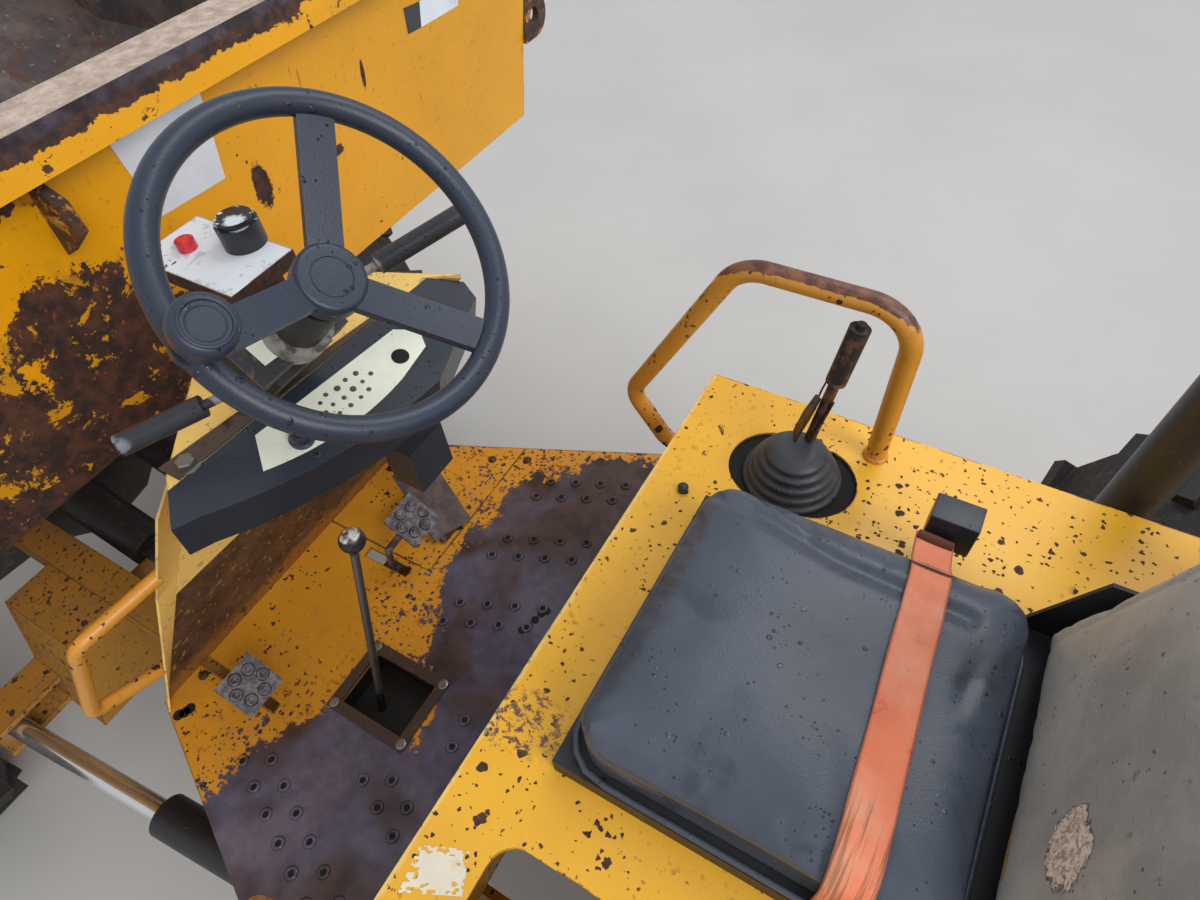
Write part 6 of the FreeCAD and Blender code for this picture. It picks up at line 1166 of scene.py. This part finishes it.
def seat_cushion(looks):
    """Crowned vinyl cushion: round front corners, a hollow where people sit, a bolster seam and piping."""
    low, high = [Vector(corner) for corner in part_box("seat_cushion")]
    cushion = soft_copy("seat_cushion_cover", "seat_cushion", 14)
    middle, half = (low + high) / 2, (high - low) / 2
    radius = 0.062
    for point in cushion.data.vertices:
        spot = point.co
        spot.x, spot.y = round_corner(spot.x, spot.y, low, high, radius)
        across = (spot.x - middle.x) / half.x
        aside = (spot.y - middle.y) / half.y
        up = (spot.z - low.z) / (high.z - low.z)
        edge = max(abs(across) ** 4, abs(aside) ** 4)
        spot.z -= up * (0.006 + 0.020 * edge)
        spot.z -= up * 0.011 * math.exp(-((across + 0.25) ** 2 + aside ** 2) / 0.30)
        waist = 0.006 * math.sin(math.pi * min(1.0, max(0.0, up)))
        spot.x -= waist * across * (1 - aside ** 2)
        spot.y -= waist * aside * (1 - across ** 2)
        spot.x = middle.x + (spot.x - middle.x) * 0.995
        spot.y = middle.y + (spot.y - middle.y) * 1.004
    puff(cushion, PUFF_CAP)
    for point in cushion.data.vertices:
        if point.co.z < middle.z:
            continue
        lower = 0.0
        for start, end, wide, deep in CUSHION_CREASES:
            gap, share = near_line(point.co, start, end)
            fade = math.sin(math.pi * min(1.0, max(0.0, share * 0.96 + 0.02))) if deep < 0.005 else 1.0
            lower = max(lower, deep * fade * math.exp(-((gap / wide) ** 2)))
        point.co.z -= lower
        point.co.z = min(point.co.z, high.z + 0.004)
    refine(cushion, looks["vinyl"])
    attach(cushion, "rear")
    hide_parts("seat_cushion")
    piping = []
    for step in range(72):
        angle = 2 * math.pi * step / 72
        reach = max(abs(math.cos(angle)), abs(math.sin(angle)))
        x = middle.x + half.x * 1.004 * math.cos(angle) / reach
        y = middle.y + half.y * 1.012 * math.sin(angle) / reach
        x, y = round_corner(x, y, low, high, radius)
        piping.append(Vector((x, y, low.z + 0.012)))
    ring_of("seat_piping", piping, 0.0042, looks["vinyl"], "rear", "vinyl")
    return cushion


def ring_of(name, points, radius, look, body, slot_name, sides=8):
    """A closed bead along a loop of points."""
    made = bmesh.new()
    rings = []
    total = len(points)
    for number, point in enumerate(points):
        run = (points[(number + 1) % total] - points[number - 1]).normalized()
        out = run.cross(Vector((0, 0, 1))).normalized()
        ring = []
        for step in range(sides):
            angle = 2 * math.pi * step / sides
            ring.append(made.verts.new(point + (out * math.cos(angle) + Vector((0, 0, 1)) * math.sin(angle)) * radius))
        rings.append(ring)
    for number in range(total):
        first, second = rings[number], rings[(number + 1) % total]
        for step in range(sides):
            after = (step + 1) % sides
            made.faces.new((first[step], first[after], second[after], second[step]))
    return place(name, made, look, body, slot_name)


BACKREST_LEAN = math.radians(14.0)
BACKREST_ROUND = 0.085


def seat_backrest(looks):
    """Backrest in coarse vinyl: crowned, with round corners and a seam along each side's bolster."""
    rest = soft_copy("seat_backrest_cover", "seat_backrest", 16)
    low, high = [Vector(corner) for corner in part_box("seat_backrest")]
    middle = (low + high) / 2
    ahead = Vector((math.cos(BACKREST_LEAN), 0, math.sin(BACKREST_LEAN)))
    up = Vector((-math.sin(BACKREST_LEAN), 0, math.cos(BACKREST_LEAN)))
    flat = [((spot.co - middle).dot(ahead), spot.co.y, (spot.co - middle).dot(up)) for spot in rest.data.vertices]
    tall, wide = max(v for _, _, v in flat), (high.y - low.y) / 2
    for point, (depth, y, rise) in zip(rest.data.vertices, flat):
        side, rise = round_corner(y, rise, (low.y, -tall), (high.y, tall), BACKREST_ROUND if rise > 0 else 0.045)
        aside = min(1.0, abs(side - middle.y) / wide)
        share = min(1.0, abs(rise) / tall)
        if depth > 0:
            depth += 0.014 * (1 - aside ** 2) * (1 - share ** 2) * min(1.0, depth / 0.03)
            depth -= 0.018 * max(aside, share) ** 6
            depth -= 0.0045 * math.exp(-(((aside - 0.76) / 0.022) ** 2)) * (1 - share ** 6)
        point.co = middle + ahead * depth + up * rise
        point.co.y = side
    puff(rest, PUFF_CAP)
    refine(rest, looks["seat_backrest"])
    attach(rest, "rear")
    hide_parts("seat_backrest")
    return rest


BELT_STEP = 0.006
BELT_THICK = 0.0026


def belt_x(y, share=0.5):
    """Where the belt lies, from its rear edge, 0, to its front edge, 1, at a place across the seat."""
    return BELT_MIDDLE[0] + BELT_SKEW * (y - BELT_MIDDLE[1]) + BELT_WIDE * (share - 0.5)


def lap_belt(looks, cushion, rest):
    """Belt webbing that lies on the cushion, from the plinth on its left to the buckle on its right."""
    low, high = [Vector(corner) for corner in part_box("lap_belt")]
    line = []
    y = low.y + 0.012
    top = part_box("seat_cushion")[1][2]
    heights = []
    count = int((high.y - 0.006 - y) / BELT_STEP)
    for step in range(count + 1):
        side = y + BELT_STEP * step
        found = []
        for share in (0.15, 0.5, 0.85):
            try:
                found.append(land((belt_x(side, share), side, top + 0.2), (0, 0, -1), cushion)[0].z)
            except ValueError:
                pass
        heights.append((side, max(found) if found else None))
    carried = [z for _, z in heights if z is not None]
    first_z, last_z = 1.448, 1.378
    for side, z in heights:
        if z is None:
            continue
        line.append((side, z + 0.0035))
    for _ in range(6):
        line = [line[0]] + [
            (b[0], max(b[1], (a[1] + b[1] + c[1]) / 3)) for a, b, c in zip(line, line[1:], line[2:])
        ] + [line[-1]]
    start = (low.y + 0.010, first_z)
    end_y = line[-1][0] + 0.0065
    path = [start] + line + [(end_y, line[-1][1] - 0.012), (end_y + 0.001, (line[-1][1] + last_z) / 2), (end_y + 0.001, last_z)]
    points = [Vector((0, side, z)) for side, z in path]
    # Even steps along the path, so that the weave's relief is even too.
    dense = [points[0]]
    for first, second in zip(points, points[1:]):
        pieces = max(1, round((second - first).length / BELT_STEP))
        dense += [first.lerp(second, (number + 1) / pieces) for number in range(pieces)]
    for _ in range(2):
        dense = [dense[0]] + [(a + b * 2 + c) / 4 for a, b, c in zip(dense, dense[1:], dense[2:])] + [dense[-1]]
    made = bmesh.new()
    rows = []
    across = 8
    for number, point in enumerate(dense):
        run = (dense[min(number + 1, len(dense) - 1)] - dense[max(number - 1, 0)]).normalized()
        out = Vector((1, 0, 0)).cross(run).normalized()
        if out.z < 0:
            out = -out
        ripple = 0.0006 * math.sin(number * 0.21)
        row = []
        for layer, order in ((1, range(across + 1)), (0, range(across, -1, -1))):
            for column in order:
                share = column / across
                x = belt_x(point.y, share) + ripple
                curl = 0.0010 * (2 * share - 1) ** 2
                edge = 0.35 if column in (0, across) else 1.0
                lift = BELT_THICK * (0.5 + (layer - 0.5) * edge) + curl
                row.append(made.verts.new(Vector((x, point.y, point.z)) + out * lift))
        rows.append(row)
    for first, second in zip(rows, rows[1:]):
        for number in range(len(first)):
            after = (number + 1) % len(first)
            made.faces.new((first[number], first[after], second[after], second[number]))
    made.faces.new(rows[0])
    made.faces.new(list(reversed(rows[-1])))
    belt = place("lap_belt_webbing", made, looks["webbing"], "rear", "webbing")
    hem = bmesh.new()
    spot = Vector((belt_x(dense[2].y), dense[2].y, dense[2].z + BELT_THICK + 0.0052))
    roll = ((0.0035, -0.0245), (0.0052, -0.0235), (0.0055, 0.0), (0.0052, 0.0235), (0.0035, 0.0245))
    lathe(hem, spot, (1, BELT_SKEW, 0), roll, 16, (1.0, 1.25))
    hem = sharpen(place("belt_hem", hem, looks["webbing_dark"], "rear", "webbing"))
    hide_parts("lap_belt")
    stitches = bmesh.new()
    for number, point in enumerate(dense):
        if not -0.246 < point.y < -0.226:
            continue
        for column in range(12):
            x = belt_x(point.y, 0.1 + 0.8 * column / 11)
            spot = Vector((x, point.y, point.z + BELT_THICK + 0.0008))
            lathe(stitches, spot, (1, 0.2, 0), ((0.0004, -0.0018), (0.0009, -0.0008), (0.0009, 0.0008), (0.0004, 0.0018)), 6)
    place("belt_stitches", stitches, looks["mark_dark"], "rear", "webbing")


def buckle_pieces(looks):
    """The buckle's moulded case with rounded edges."""
    case = bmesh.new()
    case.from_mesh(nodes["belt_buckle"].data)
    bmesh.ops.remove_doubles(case, verts=case.verts, dist=0.0001)
    sharp = [edge for edge in case.edges if len(edge.link_faces) == 2 and edge.calc_face_angle(0.0) > 0.8]
    bmesh.ops.bevel(case, geom=sharp, offset=0.0028, offset_type="OFFSET", segments=3, profile=0.6, affect="EDGES")
    cover = sharpen(place("buckle_case", case, looks["black_plastic"], "rear", "black_plastic"))
    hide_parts("belt_buckle")


# ---------------------------------------------------------------- wheels, rear end and the rest

WHEELS = {
    "wheel_front_left": ((1.475, 0.95, 0.58), "rim_front_left"),
    "wheel_front_right": ((1.475, -0.95, 0.58), "rim_front_right"),
    "wheel_rear_left": ((-1.675, 0.95, 0.58), "rim_rear_left"),
    "wheel_rear_right": ((-1.675, -0.95, 0.58), "rim_rear_right"),
}
NUT_CIRCLE = 0.118
NUT_COUNT = 8


def wheel_nuts(looks):
    for body, (centre, rim) in WHEELS.items():
        side = 1 if centre[1] > 0 else -1
        places = []
        for number in range(NUT_COUNT):
            angle = 2 * math.pi * (number + 0.5) / NUT_COUNT
            start = Vector(centre) + Vector((math.cos(angle) * NUT_CIRCLE, side * 0.5, math.sin(angle) * NUT_CIRCLE))
            point, _ = land(start, (0, -side, 0), rim)
            places.append((point, Vector((0, side, 0))))
        fasteners(f"nuts_{body}", places, 0.0115, looks["bolt_rusty"], body, "pin_steel")


HOOP_PATH = ((-0.775, 1.3595), (-0.775, 1.665), (-0.505, 1.665), (-0.307, 1.303), (-0.386, 1.192), (-0.4535, 1.192))
HOOP_BENDS = (0.072, 0.075, 0.050, 0.045)
HOOP_SIDE = 0.504
HOOP_RADIUS = 0.01685
HOOP_SIDES = 28


def rounded(points, bends, steps=10):
    """A flat line with its corners rounded off, each to its own bend radius."""
    line = [points[0]]
    for before, corner, after, bend in zip(points, points[1:], points[2:], bends):
        back, ahead = (before - corner).normalized(), (after - corner).normalized()
        half = back.angle(ahead) / 2
        reach = bend / math.tan(half)
        centre = corner + (back + ahead).normalized() * bend / math.sin(half)
        first, last = corner + back * reach - centre, corner + ahead * reach - centre
        for step in range(steps + 1):
            line.append(centre + first.lerp(last, step / steps).normalized() * bend)
    return line + [points[-1]]


def hoop_tubes(looks):
    """The two hoop rails as drawn tube with full bends, and the weld round each rear foot."""
    made = bmesh.new()
    for side in (1, -1):
        corners = [Vector((x, side * HOOP_SIDE, z)) for x, z in HOOP_PATH]
        line = rounded(corners, HOOP_BENDS)
        rings = []
        for number, point in enumerate(line):
            run = (line[min(number + 1, len(line) - 1)] - line[max(number - 1, 0)]).normalized()
            out = run.cross(Vector((0, 1, 0)))
            ring = []
            for step in range(HOOP_SIDES):
                angle = 2 * math.pi * step / HOOP_SIDES
                spoke = out * math.cos(angle) + Vector((0, 1, 0)) * math.sin(angle)
                ring.append(made.verts.new(point + spoke * HOOP_RADIUS))
            rings.append(ring)
        for first, second in zip(rings, rings[1:]):
            for step in range(HOOP_SIDES):
                after = (step + 1) % HOOP_SIDES
                made.faces.new((first[step], first[after], second[after], second[step]))
        made.faces.new(rings[0])
        made.faces.new(list(reversed(rings[-1])))
        weld = ((0.0215, 0.0), (0.0210, 0.0030), (0.0190, 0.0055), (0.0170, 0.0070))
        lathe(made, corners[0] + Vector((0, 0, 0.0006)), (0, 0, 1), weld, 28)
    hoops = sharpen(place("hoop_tubes", made, looks["hoop_rails"], "rear", "cab_yellow"), 50)
    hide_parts("hoop_rails")


WHEEL_AXIS = Vector((-math.sin(math.radians(44.4)), 0, math.cos(math.radians(44.4))))


def wheel_rings(looks):
    """The ring pressed into the hub's cap, and the raised rim of the spinner knob's dished top."""
    low, high = [Vector(corner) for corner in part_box("spinner_knob")]
    across = Vector((0, 1, 0))
    second = WHEEL_AXIS.cross(across)
    for name, node, middle, rings in (
        ("hub_ring", "steering_wheel", Vector((-0.283, 0.0, 1.946)), ((0.0215, 0.0009),)),
        ("knob_ring", "spinner_knob", (low + high) / 2, ((0.0205, 0.0016), (0.0150, 0.0008))),
    ):
        for number, (reach, thick) in enumerate(rings):
            points = []
            for step in range(48):
                angle = 2 * math.pi * step / 48
                spot = middle + across * (math.cos(angle) * reach) + second * (math.sin(angle) * reach)
                points.append(land(spot + WHEEL_AXIS * 0.15, -WHEEL_AXIS, node)[0] + WHEEL_AXIS * thick * 0.3)
            ring_of(f"{name}_{number}", points, thick, looks["wheel_plastic"], "steering_wheel_body", "wheel_plastic")


make_camera()
make_light()
make_stage()
TORN_PATCHES = tuple(
    (tuple(seen(across, down, "seat_backrest")[0]), half, first, second)
    for across, down, half, first, second in (
        (1092, 858, (0.060, 0.040, 0.034), tone(226, 214, 198), tone(150, 136, 124)),
        (1014, 852, (0.060, 0.036, 0.014), tone(214, 150, 82), tone(150, 92, 44)),
    )
)
looks = plain_looks() | more_looks()
dress_nodes(looks)
floor_pieces(looks)
pedal_pieces(looks)
dash_pieces(looks)
column_label(looks)
handbrake_pieces(looks)
sticker_pieces(looks)
plinth_pieces(looks)
cushion = seat_cushion(looks)
rest = seat_backrest(looks)
lap_belt(looks, cushion, rest)
buckle_pieces(looks)
wheel_nuts(looks)
wheel_rings(looks)
hoop_tubes(looks)
